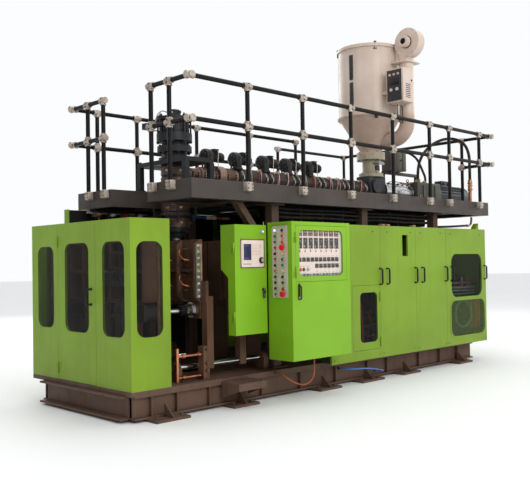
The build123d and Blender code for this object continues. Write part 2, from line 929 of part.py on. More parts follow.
def rear_casting(side):
    x0 = min(side * casting_in, side * casting_out)
    depth = casting_out - casting_in
    outer = side * casting_out
    plate_out = side * (casting_in + 30)
    plate_in = side * (casting_in + 30 - cylinder_plate_t)
    cell_w = (2 * casting_half_y - 6 * casting_wall) / 5
    cell_h = (casting_z1 - casting_z0 - 3 * casting_wall) / 2
    with BuildPart() as casting:
        with BuildSketch(facing_left(x0)):
            with Locations((0, (casting_z0 + casting_z1) / 2)):
                RectangleRounded(2 * casting_half_y, casting_z1 - casting_z0, 25)
        extrude(amount=depth)
        with BuildSketch(facing_left(outer)):
            with Locations((0, (casting_z0 + casting_z1) / 2)):
                with GridLocations(cell_w + casting_wall, cell_h + casting_wall, 5, 2):
                    RectangleRounded(cell_w, cell_h, 22)
        extrude(amount=-side * (depth - casting_wall), mode=Mode.SUBTRACT)
        for y in (-casting_foot_y, casting_foot_y):
            half = casting_foot_w / 2
            block(x0, x0 + depth, y - half, y + half, bed_z + 30, casting_z0 - gap)
            block(x0 - 20, x0 + depth + 20, y - half - 30, y + half + 30, bed_z, bed_z + 30)
        for y in (-rod_y, rod_y):
            block(*sorted((plate_in, plate_out)), y - 105, y + 105, rod_z - 105, casting_z0 + 60)
            rod_x(*sorted((plate_in - side, plate_out + side)), y, rod_z, rod_r + 1, mode=Mode.SUBTRACT)
    return casting.part


left_casting = rear_casting(-1)
right_casting = rear_casting(1)
with BuildPart() as clamp_castings:
    add(left_casting)
    add(right_casting)
    add(guide_block_solids)
    # water manifold on the bed plate
    block(water_x1, water_x1 + 75, water_y - 45, water_y + 45, bed_z, 620)
    for z in (380, 450, 590):
        rod_y_dir(water_y - 75, water_y - 45, water_x1 + 37, z, 16)
clamp_castings.part.label = "clamp_castings"
export_step(clamp_castings.part, "parts/clamp_castings.step")


def clamp_cylinder(side):
    front = side * (casting_in + 30)
    rear = side * barrel_end
    with BuildPart() as cylinder:
        for y in (-rod_y, rod_y):
            rod_x(*sorted((front, rear)), y, rod_z, barrel_r)
            rod_x(*sorted((front - side, rear - side * 20)), y, rod_z, rod_r + 1, mode=Mode.SUBTRACT)
            for x in (front, rear - side * 34):
                with BuildSketch(facing_left(min(x, x + side * 34))):
                    with Locations((y, rod_z)):
                        RectangleRounded(2 * barrel_r + 14, 2 * barrel_r + 14, 20)
                        Circle(barrel_r - 1, mode=Mode.SUBTRACT)
                extrude(amount=34)
    return cylinder.part


left_cylinders = clamp_cylinder(-1)
right_cylinders = clamp_cylinder(1)
with BuildPart() as clamp_cylinders:
    add(left_cylinders)
    add(right_cylinders)
clamp_cylinders.part.label = "clamp_cylinders"
export_step(clamp_cylinders.part, "parts/clamp_cylinders.step")

# Cooling manifold on the near edge of the left platen
manifold_t = 16
manifold_w = 60
with BuildPart() as manifold_strip:
    with BuildSketch(facing_front(-platen_half)):
        with Locations((-platen_in - platen_t - 34, (platen_z0 + platen_z1) / 2)):
            Rectangle(manifold_w, platen_z1 - platen_z0 - 90)
            with GridLocations(1, 62, 1, 9):
                Circle(9, mode=Mode.SUBTRACT)
    extrude(amount=manifold_t)
manifold_strip.part.label = "manifold_strip"
export_step(manifold_strip.part, "parts/manifold_strip.step")

# Cooling water pipes beside the clamp
with BuildPart() as water_pipes:
    for z in (330, 540):
        rod_x(water_x0, water_x1, water_y, z, pipe_cu_r)
        rod_x(water_x0 + 40, water_x0 + 75, water_y, z, pipe_cu_r + 8)
        rod_x(water_x1 - 40, water_x1, water_y, z, pipe_cu_r + 8)
    rod_up(bed_z, 620, water_x0 - 20, water_y, 20)
    for z in (330, 540):
        rod_x(water_x0 - 20, water_x0, water_y, z, pipe_cu_r)
    # hose fitting and its stub on the deck
    rod_up(deck_top, deck_hose_z - 170, deck_hose_x, deck_hose_y, 26)
    rod_up(deck_hose_z - 170, deck_hose_z, deck_hose_x, deck_hose_y, 33)
water_pipes.part.label = "water_pipes"
export_step(water_pipes.part, "parts/water_pipes.step")

# Die head hanging in the bridge plate
with BuildPart() as head_bridge:
    with BuildSketch(Plane.XY.offset(bridge_z0)):
        RectangleRounded(2 * bridge_x, 2 * bridge_y, 20)
        Circle(head_r + 1, mode=Mode.SUBTRACT)
    extrude(amount=bridge_z1 - bridge_z0)
    for x in (-bridge_x + bridge_leg / 2, bridge_x - bridge_leg / 2):
        for y in (-bridge_y + bridge_leg / 2, bridge_y - bridge_leg / 2):
            block(
                x - bridge_leg / 2, x + bridge_leg / 2, y - bridge_leg / 2, y + bridge_leg / 2,
                deck_top, bridge_z0,
            )
head_bridge.part.label = "head_bridge"
export_step(head_bridge.part, "parts/head_bridge.step")

with BuildPart() as die_head:
    with BuildSketch(Plane.XZ):
        with BuildLine():
            Polyline(
                (0, head_bottom), (105, head_bottom), (118, head_bottom + 50),
                (head_r, head_bottom + 70),
                (head_r, head_bottom + 250), (head_r + 12, head_bottom + 254),
                (head_r + 12, head_bottom + 300),
                (head_r, head_bottom + 304), (head_r, bridge_z1), (head_r + 30, bridge_z1),
                (head_r + 30, bridge_z1 + 36), (neck_r, bridge_z1 + 36), (neck_r, flange_low_z0),
                (flange_low_r, flange_low_z0),
                (flange_low_r, flange_low_z1), (neck_r, flange_low_z1), (neck_r, flange_high_z0),
                (flange_high_r, flange_high_z0), (flange_high_r, flange_high_z1), (0, flange_high_z1),
                close=True,
            )
        make_face()
    revolve(axis=Axis.Z)
    with Locations((0, 0, head_bottom + 200)):
        Cylinder(pin_r + gap, 420, mode=Mode.SUBTRACT)
    # small junction box on the upper flange
    block(
        -head_box_out, -head_box_out + 90, head_box_y - 35, head_box_y + 35, head_box_z,
        head_box_z + 68,
    )
    block(
        -head_box_out + 80, -flange_high_r + 60, head_box_y - 12, head_box_y + 12, head_box_z,
        head_box_z + 8,
    )
    block(
        -flange_high_r + 52, -flange_high_r + 60, head_box_y - 12, head_box_y + 12, flange_high_z1 - 1,
        head_box_z,
    )
die_head.part.label = "die_head"
export_step(die_head.part, "parts/die_head.step")

with BuildPart() as die_pin:
    with BuildSketch(Plane.XZ):
        with BuildLine():
            Polyline(
                (0, head_bottom - pin_drop), (pin_r - 18, head_bottom - pin_drop),
                (pin_r, head_bottom - pin_drop + 22),
                (pin_r, head_bottom + 360), (0, head_bottom + 360), close=True,
            )
        make_face()
    revolve(axis=Axis.Z)
die_pin.part.label = "die_pin"
export_step(die_pin.part, "parts/die_pin.step")

# Accumulator drum above the head, with tie rods and cap
with BuildPart() as head_drum:
    with BuildSketch(Plane.XZ):
        with BuildLine():
            Polyline(
                (0, flange_high_z1), (drum_r - 14, flange_high_z1), (drum_r - 14, drum_z1 - 38),
                (flange_high_r, drum_z1 - 38),
                (flange_high_r, drum_z1), (cap_r + 14, drum_z1), (cap_r + 14, cap_z0), (cap_r, cap_z0),
                (cap_r, cap_z1 - 14), (cap_r - 18, cap_z1), (0, cap_z1), close=True,
            )
        make_face()
    revolve(axis=Axis.Z)
    with PolarLocations(tie_circle, 8):
        with Locations((0, 0, (flange_high_z1 + drum_z1 - 38) / 2)):
            Cylinder(tie_r, drum_z1 - 38 - flange_high_z1)
        with Locations((0, 0, drum_z1 + 10)):
            Cylinder(tie_r + 7, 20)
head_drum.part.label = "head_drum"
export_step(head_drum.part, "parts/head_drum.step")

# Adapter and heater covers between the head and the barrel
extruder_line = Axis((0, 0, axis_z), (1, 0, 0))
adapter_x0 = head_r + 12
with BuildPart() as adapter_cover:
    with BuildSketch(Plane.XZ):
        with BuildLine():
            Polyline(
                (adapter_x0, axis_z), (adapter_x0, axis_z + 66), (330, axis_z + 66),
                (342, axis_z + adapter_r),
                (480, axis_z + adapter_r), (492, axis_z + 76), (ring_x0, axis_z + 76),
                (ring_x0, axis_z + ring_r),
                (ring_x1, axis_z + ring_r), (ring_x1, axis_z + adapter_r + 12),
                (cover_x1 - 14, axis_z + adapter_r + 12),
                (cover_x1, axis_z + adapter_r), (cover_x1, axis_z), close=True,
            )
        make_face()
    revolve(axis=extruder_line)
    rod_x(cover_x1 - 300, cover_x1 + 10, 0, axis_z, screw_root + gap, mode=Mode.SUBTRACT)
adapter_cover.part.label = "adapter_cover"
export_step(adapter_cover.part, "parts/adapter_cover.step")

# Barrel in its heater covers: five lengths with a joint line between them
zone_n = 5
zone_l = (barrel_x1 - cover_x1) / zone_n
barrel_profile = [(cover_x1, axis_z + barrel_bore)]
for i in range(zone_n):
    start = cover_x1 + i * zone_l
    barrel_profile += [
        (start, axis_z + cover_r - 10), (start + 14, axis_z + cover_r - 10),
        (start + 14, axis_z + cover_r),
        (start + zone_l - 14, axis_z + cover_r), (start + zone_l - 14, axis_z + cover_r - 10),
    ]
barrel_profile += [(barrel_x1, axis_z + cover_r - 10), (barrel_x1, axis_z + barrel_bore)]
stand_xs = [1150, 2700]
with BuildPart() as barrel_cover:
    with BuildSketch(Plane.XZ):
        with BuildLine():
            Polyline(*barrel_profile, close=True)
        make_face()
    revolve(axis=extruder_line)
    # split line flanges at axis height
    for y in (-cover_r - 8, cover_r - 12):
        block(cover_x1 + 14, barrel_x1 - 14, y, y + 20, axis_z - 6, axis_z + 6)
barrel_cover.part.label = "barrel_cover"
export_step(barrel_cover.part, "parts/barrel_cover.step")

with BuildPart() as barrel_stands:
    for x in stand_xs:
        with BuildSketch(facing_left(x - 30)):
            with Locations((0, (deck_top + axis_z - 20) / 2)):
                Rectangle(230, axis_z - 20 - deck_top)
            with Locations((0, axis_z)):
                Circle(cover_r + gap, mode=Mode.SUBTRACT)
        extrude(amount=60)
        block(x - 70, x + 70, -150, 150, deck_top, deck_top + 16)
    # bracket that carries the motor beyond the deck edge
    for y in (-140, 140):
        block(deck_right, motor_foot_x1 + 20, y - 30, y + 30, deck_top - 150, deck_top - 40)
    block(deck_right, motor_foot_x1 + 20, -190, 190, deck_top - 40, deck_top - 24)
    for x in (motor_foot_x0, motor_foot_x1 - 40):
        with BuildSketch(facing_left(x)):
            with Locations((0, (deck_top - 24 + axis_z - 60) / 2)):
                Rectangle(300, axis_z - 60 - deck_top + 24)
            with Locations((0, axis_z)):
                Circle(motor_r + gap, mode=Mode.SUBTRACT)
        extrude(amount=40)
barrel_stands.part.label = "barrel_stands"
export_step(barrel_stands.part, "parts/barrel_stands.step")

screw_tip_x = cover_x1 - 260
screw_x1 = casting_x1 - gap
with BuildPart() as screw:
    with BuildSketch(Plane.XZ):
        with BuildLine():
            Polyline(
                (screw_tip_x, axis_z), (screw_tip_x + 90, axis_z + screw_root),
                (cover_x1 + 30, axis_z + screw_root),
                (cover_x1 + 30, axis_z + screw_r - gap), (barrel_x1 - 30, axis_z + screw_r - gap),
                (barrel_x1 - 30, axis_z + screw_root), (screw_x1, axis_z + screw_root),
                (screw_x1, axis_z), close=True,
            )
        make_face()
    revolve(axis=extruder_line)
screw.part.label = "screw"
export_step(screw.part, "parts/screw.step")

# Feed casting round the rear of the barrel, with the throat above it
with BuildPart() as feed_casting:
    with BuildSketch(facing_left(casting_x0)):
        with Locations((0, axis_z)):
            Circle(casting_r)
        with Locations((0, (deck_top + axis_z) / 2)):
            Rectangle(2 * casting_r - 30, axis_z - deck_top)
        with Locations((0, (axis_z + throat_z0) / 2)):
            Rectangle(2 * casting_r - 20, throat_z0 - axis_z)
    extrude(amount=casting_x1 - casting_x0)
    rod_x(casting_x0 - 1, casting_x1 - 40, 0, axis_z, barrel_bore, mode=Mode.SUBTRACT)
    rod_x(casting_x1 - 60, casting_x1 + 1, 0, axis_z, screw_root + gap, mode=Mode.SUBTRACT)
    rod_x(barrel_x1, casting_x0, 0, axis_z, casting_r - 20)
    rod_x(barrel_x1 - 1, casting_x0 + 1, 0, axis_z, barrel_bore, mode=Mode.SUBTRACT)
    rod_y_dir(-casting_r - 30, -casting_r + 20, 3565, 2531, 95)
    block(casting_x0 - 30, casting_x1, -casting_r - 20, casting_r + 20, deck_top, deck_top + 20)
feed_casting.part.label = "feed_casting"
export_step(feed_casting.part, "parts/feed_casting.step")

with BuildPart() as feed_collar:
    with BuildSketch(Plane(origin=(throat_x, 0, 0), x_dir=(1, 0, 0), z_dir=(0, -1, 0))):
        with BuildLine():
            Polyline(
                (70, throat_z0), (throat_flange_r, throat_z0), (throat_flange_r, throat_z1),
                (throat_r, throat_z1),
                (throat_r, throat_top_z0), (throat_top_r, throat_top_z0), (throat_top_r, throat_top_z1),
                (100, throat_top_z1), (100, throat_z0 + 120), (70, throat_z0 + 60), close=True,
            )
        make_face()
    revolve(axis=Axis((throat_x, 0, 0), (0, 0, 1)))
    # slot for the slide gate and a sight window
    block(
        throat_x - 92, throat_x + 92, -throat_r - 10, 92, throat_top_z0 - 60, throat_top_z0 - 48,
        mode=Mode.SUBTRACT,
    )
    block(
        throat_x - 50, throat_x + 50, -throat_r - 10, -90, throat_z1 + 40, throat_z1 + 110,
        mode=Mode.SUBTRACT,
    )
feed_collar.part.label = "feed_collar"
export_step(feed_collar.part, "parts/feed_collar.step")

with BuildPart() as slide_gate:
    block(throat_x - 90, throat_x + 90, -throat_r - 60, 90, throat_top_z0 - 59.4, throat_top_z0 - 49)
    block(
        throat_x - 60, throat_x + 60, -throat_r - 68, -throat_r - 60, throat_top_z0 - 80,
        throat_top_z0 - 34,
    )
slide_gate.part.label = "slide_gate"
export_step(slide_gate.part, "parts/slide_gate.step")

# Thrust coupling, gearbox and motor
with BuildPart() as drive_coupling:
    with BuildSketch(Plane.XZ):
        with BuildLine():
            Polyline(
                (casting_x1, axis_z), (casting_x1, axis_z + coupling_r + 18),
                (casting_x1 + 40, axis_z + coupling_r + 18),
                (casting_x1 + 40, axis_z + coupling_r), (gearbox_x0 - 46, axis_z + coupling_r),
                (gearbox_x0 - 46, axis_z + coupling_r + 18), (gearbox_x0, axis_z + coupling_r + 18),
                (gearbox_x0, axis_z), close=True,
            )
        make_face()
    revolve(axis=extruder_line)
drive_coupling.part.label = "drive_coupling"
export_step(drive_coupling.part, "parts/drive_coupling.step")

with BuildPart() as gearbox:
    with BuildSketch(facing_left(gearbox_x0)):
        with Locations((0, (deck_top + gearbox_z1) / 2)):
            RectangleRounded(2 * gearbox_half, gearbox_z1 - deck_top, 30)
    extrude(amount=gearbox_x1 - gearbox_x0)
    block(
        gearbox_x0, min(gearbox_x1, deck_right - 20), -gearbox_half - 40, gearbox_half + 40, deck_top,
        deck_top + 24,
    )
    for x in (gearbox_x0 + 150, gearbox_x0 + 310, gearbox_x0 + 470):
        block(x, x + 16, -gearbox_half - 12, gearbox_half + 12, deck_top + 24, gearbox_z1 - 40)
    rod_up(gearbox_z1 - 1, gearbox_z1 + 45, gear_hose_x, gear_hose_y, 34)
gearbox.part.label = "gearbox"
export_step(gearbox.part, "parts/gearbox.step")

cowl_x0 = motor_x1 - fan_cowl
with BuildPart() as motor:
    rod_x(gearbox_x1, gearbox_x1 + 30, 0, axis_z, motor_r + 16)
    rod_x(gearbox_x1 + 30, cowl_x0, 0, axis_z, motor_r - 22)
    with BuildSketch(facing_left(gearbox_x1 + 60)):
        with Locations((0, axis_z)):
            with PolarLocations(motor_r - 14, motor_fins):
                Rectangle(28, 6)
    extrude(amount=cowl_x0 - gearbox_x1 - 90)
    with BuildSketch(facing_left(cowl_x0)):
        with Locations((0, axis_z)):
            Circle(motor_r)
            Circle(motor_r - sheet, mode=Mode.SUBTRACT)
    extrude(amount=fan_cowl)
    with BuildSketch(facing_left(motor_x1 - sheet)):
        with Locations((0, axis_z)):
            Circle(motor_r)
            with PolarLocations(95, 12):
                SlotOverall(110, 22, mode=Mode.SUBTRACT)
    extrude(amount=sheet)
    rod_x(cowl_x0 - 6, cowl_x0 + 6, 0, axis_z, motor_r)
    block(5400, 5640, -60, 60, axis_z + motor_r - 40, axis_z + motor_r + 70)
motor.part.label = "motor"
export_step(motor.part, "parts/motor.step")

with BuildPart() as motor_fan:
    rod_x(cowl_x0 + 6 + gap, cowl_x0 + 90, 0, axis_z, 38)
    with BuildSketch(facing_left(cowl_x0 + 20)):
        with Locations((0, axis_z)):
            with PolarLocations(90, 8):
                Rectangle(110, 7)
    extrude(amount=60)
motor_fan.part.label = "motor_fan"
export_step(motor_fan.part, "parts/motor_fan.step")

# Barrel cooling blowers: scroll saddled on the barrel, motor beside it
def blower(x, saddle_r):
    with BuildPart() as unit:
        with BuildSketch(facing_left(x - scroll_w / 2)):
            with Locations((0, blower_z)):
                Circle(scroll_r)
            with Locations((-scroll_r / 2, (blower_z + axis_z + 60) / 2)):
                Rectangle(scroll_r, blower_z - axis_z - 60)
        extrude(amount=scroll_w)
        rod_x(x - scroll_w, x + scroll_w, 0, axis_z, saddle_r + gap, mode=Mode.SUBTRACT)
        motor_x0 = x + scroll_w / 2
        rod_x(motor_x0, motor_x0 + blower_motor_l, 0, blower_z, blower_motor_r)
        rod_x(
            motor_x0 + blower_motor_l, motor_x0 + blower_motor_l + 26, 0, blower_z, blower_motor_r - 14,
        )
        box_z = blower_z + blower_motor_r
        block(motor_x0 + 40, motor_x0 + 120, -34, 34, box_z - 12, box_z + 34)
    return unit.part


blower_solids = [blower(x, cover_r if x > cover_x1 else adapter_r) for x in blower_xs]
with BuildPart() as blowers:
    add(blower_solids)
blowers.part.label = "blowers"
export_step(blowers.part, "parts/blowers.step")

# Hopper dryer: drum, cone and foot flange on the feed collar
dryer_axis = Axis((throat_x, 0, 0), (0, 0, 1))
lid_hinge_y = dryer_r + rim_w + 22
lid_hinge_z = dryer_z1 + 8
dryer_plane = Plane(origin=(throat_x, 0, 0), x_dir=(1, 0, 0), z_dir=(0, -1, 0))
foot_z0 = throat_top_z1
foot_z1 = foot_z0 + 18
with BuildPart() as dryer_hopper:
    with BuildSketch(dryer_plane):
        with BuildLine():
            Polyline(
                (100, foot_z0), (throat_top_r, foot_z0), (throat_top_r, foot_z1),
                (cone_r - 40, foot_z1),
                (cone_r - 40, foot_z1 + 30), (dryer_r - 34, dryer_z0 - 50), (dryer_r, dryer_z0 - 16),
                (dryer_r + rim_w, dryer_z0 - 16), (dryer_r + rim_w, dryer_z0 + 16),
                (dryer_r, dryer_z0 + 16),
                (dryer_r, dryer_z1 - 24), (dryer_r + rim_w, dryer_z1 - 24), (dryer_r + rim_w, dryer_z1),
                (dryer_r - 6, dryer_z1), (dryer_r - 6, dryer_z0), (dryer_r - 44, dryer_z0 - 50),
                (cone_r - 52, foot_z1 + 40), (cone_r - 52, foot_z0 + 9), (100, foot_z0 + 9), close=True,
            )
        make_face()
    revolve(axis=dryer_axis)
    # lid hinge bracket at the rear
    with BuildSketch(facing_left(throat_x - 29.5)):
        with Locations((lid_hinge_y, lid_hinge_z - 30)):
            Rectangle(20, 60)
        with Locations(((dryer_r - 4 + lid_hinge_y + 10) / 2, dryer_z1 - 48)):
            Rectangle(lid_hinge_y + 14 - dryer_r, 24)
        with Locations((lid_hinge_y, lid_hinge_z)):
            Circle(10)
    extrude(amount=59)
dryer_hopper.part.label = "dryer_hopper"
export_step(dryer_hopper.part, "parts/dryer_hopper.step")

with BuildPart() as dryer_lid:
    with BuildSketch(dryer_plane):
        with BuildLine():
            Polyline(
                (0, dryer_z1 + gap), (lid_r, dryer_z1 + gap), (lid_r, dryer_z1 + 22),
                (lid_r - 60, dryer_z1 + 34),
                (120, dryer_z1 + lid_h), (0, dryer_z1 + lid_h), close=True,
            )
        make_face()
    revolve(axis=dryer_axis)
    for x in (throat_x - 60, throat_x + 30):
        block(x, x + 30, lid_r - 40, lid_hinge_y, dryer_z1 + gap, dryer_z1 + 16)
        rod_x(x, x + 30, lid_hinge_y, lid_hinge_z, 10)
    rod_up(dryer_z1 + 30, dryer_z1 + lid_h + 40, throat_x + 160, -140, 45)
dryer_lid.part.label = "dryer_lid"
export_step(dryer_lid.part, "parts/dryer_lid.step")

# Dryer blower: wheel housing with its nozzle, transition, duct and elbow into the cone
wheel_x0 = blower_wheel_x - blower_wheel_w / 2
with BuildPart() as dryer_blower:
    with BuildSketch(facing_left(wheel_x0)):
        with Locations((blower_wheel_y, blower_wheel_z)):
            Circle(blower_wheel_r)
        with Locations((duct_y, (chin_z + blower_wheel_z) / 2)):
            Rectangle(200, blower_wheel_z - chin_z)
    extrude(amount=blower_wheel_w)
    rod_x(wheel_x0 - 90, wheel_x0, blower_wheel_y, blower_wheel_z, 78)
    rod_x(wheel_x0 - 91, wheel_x0 - 10, blower_wheel_y, blower_wheel_z, 70, mode=Mode.SUBTRACT)
    rod_x(
        wheel_x0 + blower_wheel_w, wheel_x0 + blower_wheel_w + 120, blower_wheel_y, blower_wheel_z, 85,
    )
    with BuildSketch(Plane.XY.offset(duct_flange_z + duct_flange_t)):
        with Locations((duct_x, duct_y)):
            Circle(duct_r)
    with BuildSketch(Plane.XY.offset(chin_z + 20)):
        with Locations((blower_wheel_x, duct_y)):
            Rectangle(blower_wheel_w - 6, 190)
    loft()
    with BuildSketch(Plane.XY.offset(duct_flange_z)):
        with Locations((duct_x, duct_y)):
            RectangleRounded(330, 260, 20)
    extrude(amount=duct_flange_t)
    rod_up(elbow_z, duct_flange_z, duct_x, duct_y, duct_r)
    rod_up(elbow_z, elbow_z + 14, duct_x, duct_y, duct_r + 24)
    with BuildSketch(Plane.XY.offset(elbow_z)):
        with Locations((duct_x, duct_y)):
            Circle(duct_r)
    revolve(axis=Axis((duct_x, duct_y + elbow_bend, elbow_z), (1, 0, 0)), revolution_arc=90)
    rod_y_dir(duct_y + elbow_bend, -180, duct_x, elbow_z - elbow_bend, duct_r)
    for z in (3680, 4120):
        block(duct_x - 30, duct_x + 30, duct_y + duct_r - 20, -dryer_r + 40, z, z + 40)
    # cut back to the drum and the cone
    with BuildSketch(dryer_plane):
        with BuildLine():
            Polyline(
                (0, foot_z1), (cone_r - 40 + gap, foot_z1), (cone_r - 40 + gap, foot_z1 + 30),
                (dryer_r - 34 + gap, dryer_z0 - 50),
                (dryer_r + gap, dryer_z0 - 16), (dryer_r + gap, dryer_z1), (0, dryer_z1), close=True,
            )
        make_face()
    revolve(axis=dryer_axis, mode=Mode.SUBTRACT)
dryer_blower.part.label = "dryer_blower"
export_step(dryer_blower.part, "parts/dryer_blower.step")

dryer_box_y = (dryer_box_y0 + dryer_box_y1) / 2
dryer_gland_x = (dryer_box_x0 + 60, dryer_box_x1 - 60)
dryer_gland_h = 24
with BuildPart() as dryer_box:
    block(dryer_box_x0, dryer_box_x1, dryer_box_y0, dryer_box_y1, dryer_box_z0, dryer_box_z1)
    fillet(dryer_box.edges().filter_by(Axis.X), 14)
    with BuildSketch(facing_left(dryer_box_x0)):
        with Locations((dryer_box_y, (dryer_box_z0 + dryer_box_z1) / 2)):
            RectangleRounded(dryer_box_y1 - dryer_box_y0 - 36, dryer_box_z1 - dryer_box_z0 - 36, 10)
    extrude(amount=-8)
    for y, z, r in ((-70, 150, 16), (0, 150, 16), (70, 150, 16), (-50, -60, 22), (50, -60, 22)):
        rod_x(
            dryer_box_x0 - 24, dryer_box_x0 - 8, dryer_box_y + y, (dryer_box_z0 + dryer_box_z1) / 2 + z,
            r,
        )
    block(
        dryer_box_x0 + 60, dryer_box_x0 + 150, dryer_box_y1, -dryer_r + 120, dryer_box_z0 + 150,
        dryer_box_z0 + 200,
    )
    rod_up(dryer_z0 - 100, dryer_z1, throat_x, 0, dryer_r + gap, mode=Mode.SUBTRACT)
    for x in dryer_gland_x:
        rod_up(dryer_box_z0 - dryer_gland_h, dryer_box_z0, x, dryer_box_y, 13)
dryer_box.part.label = "dryer_box"
export_step(dryer_box.part, "parts/dryer_box.step")

# Frame behind the right hand covers, with the oil tank of the power unit
frame_front = cover_front + pan_depth
frame_rear = cover_rear - pan_depth
frame_top = cover_z1 - 10
post_back = frame_front + frame_w
frame_xs = [
    cover_left, 2190 - frame_w / 2, 2941 - frame_w / 2, 3659 - frame_w / 2, cover_right - frame_w,
]
with BuildPart() as cover_frame:
    for x in frame_xs:
        block(x, x + frame_w, frame_front, frame_front + frame_w, bed_z, frame_top)
        block(x, x + frame_w, frame_rear - frame_w, frame_rear, bed_z, frame_top)
        block(x, x + frame_w, post_back + gap, base_front + 63, bed_z, bed_z + frame_w)
    # rails between the posts, and a tie over each end
    for start, end in zip(frame_xs, frame_xs[1:]):
        for z in (bed_z, frame_top - frame_w):
            block(start + frame_w + gap, end - gap, frame_front, post_back, z, z + frame_w)
            block(start + frame_w + gap, end - gap, frame_rear - frame_w, frame_rear, z, z + frame_w)
    for x in (cover_left, cover_right - frame_w):
        block(
            x, x + frame_w, post_back + gap, frame_rear - frame_w - gap, frame_top - frame_w, frame_top,
        )
    # arms to the cabinet and the control box
    for z in (cabinet_z0 + 120, cabinet_z1 - 160):
        block(640, 700, cabinet_back, column_front_y - column_w / 2, z, z + 60)
        block(cabinet_x1 - 90, cabinet_x1 - 30, cabinet_back, post_back - 20 - gap, z, z + 60)
        block(cabinet_x1 - 90, cover_left - gap, post_back - 20, post_back + 40, z, z + 60)
    block(box_x0 + 200, column_xs[0] - column_w / 2, box_back, box_back + 45, 1500, 1560)
cover_frame.part.label = "cover_frame"
export_step(cover_frame.part, "parts/cover_frame.step")

tank_x0 = 4010
tank_x1 = 4600
tank_y0 = -1080
tank_y1 = -380
tank_z1 = 1010
with BuildPart() as power_unit:
    block(tank_x0, tank_x1, tank_y0, tank_y1, bed_z, tank_z1)
    fillet(power_unit.edges().filter_by(Axis.Z), 20)
    block(tank_x0 - 20, tank_x1 + 20, tank_y0 - 20, tank_y1 + 20, tank_z1, tank_z1 + 16)
    rod_x(tank_x0 + 60, tank_x0 + 430, -820, tank_z1 + 16 + 130, 120)
    block(tank_x0 + 110, tank_x0 + 380, -920, -720, tank_z1 + 16, tank_z1 + 60)
    rod_x(tank_x0 + 430, tank_x0 + 560, -820, tank_z1 + 146, 60)
    rod_up(tank_z1 + 16, tank_z1 + 200, tank_x1 - 90, -960, 45)
power_unit.part.label = "power_unit"
export_step(power_unit.part, "parts/power_unit.step")

# Covers: lift-off sheet pans with the access opening, slot and two windows
front_plane = facing_front(cover_front)
rear_plane = facing_front(cover_rear)
edges_x = [cover_left] + cover_seams + [cover_right]
slot_r = 6
panel_windows = [
    [(side_window[0], side_window[1], side_window[2], side_window[3], 60)],
    [(slot[0], slot[1], slot[2], slot[3], slot_r)],
    [],
    [(*look_window, look_window_r), (*mesh_window, mesh_window_r)],
]
cover_pans = []
for i, windows in enumerate(panel_windows):
    span = (
        edges_x[i] + (seam / 2 if i else 0), edges_x[i + 1] - (seam / 2 if i < 3 else 0), cover_z0,
        cover_z1,
    )
    openings = list(windows)
    if i == 0:
        openings.append((access[0], access[1], access[2], access[3], 4))
    cover_pans.append(pan_panel(front_plane, span, -1, pan_depth, openings))
rear_edges = [cover_left, 2400, 3550, cover_right]
rear_pans = [
    pan_panel(rear_plane, (x0 + seam / 2, x1 - seam / 2, bed_z + gap, cover_z1), 1, pan_depth, [])
    for x0, x1 in zip(rear_edges, rear_edges[1:])
]
end_pan = pan_panel(
    facing_left(cover_right + pan_depth), (frame_front, frame_rear, bed_z, cover_z1), -1, pan_depth, [],
)
with BuildPart() as side_covers:
    add(cover_pans)
    add(rear_pans)
    add(end_pan)
    # raised ring round the mesh opening
    with BuildSketch(front_plane):
        with Locations(((mesh_window[0] + mesh_window[1]) / 2, (mesh_window[2] + mesh_window[3]) / 2)):
            RectangleRounded(
                mesh_window[1] - mesh_window[0] + 2 * mesh_ring,
                mesh_window[3] - mesh_window[2] + 2 * mesh_ring, mesh_window_r + mesh_ring,
            )
            RectangleRounded(
                mesh_window[1] - mesh_window[0], mesh_window[3] - mesh_window[2], mesh_window_r,
                mode=Mode.SUBTRACT,
            )
    extrude(amount=4)
side_covers.part.label = "side_covers"
export_step(side_covers.part, "parts/side_covers.step")

cover_pull = pull_handle(handle_z0, handle_z1, handle_bar_r, handle_reach)
cover_pulls = [Pos(x, cover_front, 0) * cover_pull for x in handle_xs]
with BuildPart() as cover_handles:
    add(cover_pulls)
    # pull on the cabinet's lower panel
    add(Pos(412, cabinet_front, 0) * pull_handle(1067, 1200, 7, 36))
cover_handles.part.label = "cover_handles"
export_step(cover_handles.part, "parts/cover_handles.step")

access_span = (access[0] + seam, access[1] - seam, access[2] + seam, access[3] - seam)
access_pan = pan_panel(front_plane, access_span, -1, pan_depth - seam, [(*access_window, 60)])
access_hinge_x = access[1]
access_hinge_y = cover_front - knuckle_r
access_hinge_zs = (470, 1010)
with BuildPart() as access_door:
    add(access_pan)
    for z in access_hinge_zs:
        rod_up(z + gap, z + knuckle_h, access_hinge_x, access_hinge_y, knuckle_r)
        block(
            access_hinge_x - leaf_len, access_hinge_x - seam, cover_front - leaf_t, cover_front,
            z + gap, z + knuckle_h,
        )
        block(
            access_hinge_x - seam - 2, access_hinge_x - 1, access_hinge_y, cover_front, z + gap,
            z + knuckle_h,
        )
access_door.part.label = "access_door"
export_step(access_door.part, "parts/access_door.step")

# Mesh behind the lower opening: flat sheet with a diamond pattern of slots
mesh_t = 4
with BuildPart() as mesh_grille:
    with BuildSketch(facing_front(cover_front + sheet)):
        with Locations(((mesh_window[0] + mesh_window[1]) / 2, (mesh_window[2] + mesh_window[3]) / 2)):
            RectangleRounded(
                mesh_window[1] - mesh_window[0] - 2 * gap,
                mesh_window[3] - mesh_window[2] - 2 * gap,
                mesh_window_r - gap,
            )
    extrude(amount=-mesh_t)
mesh_grille.part.label = "mesh_grille"
export_step(mesh_grille.part, "parts/mesh_grille.step")

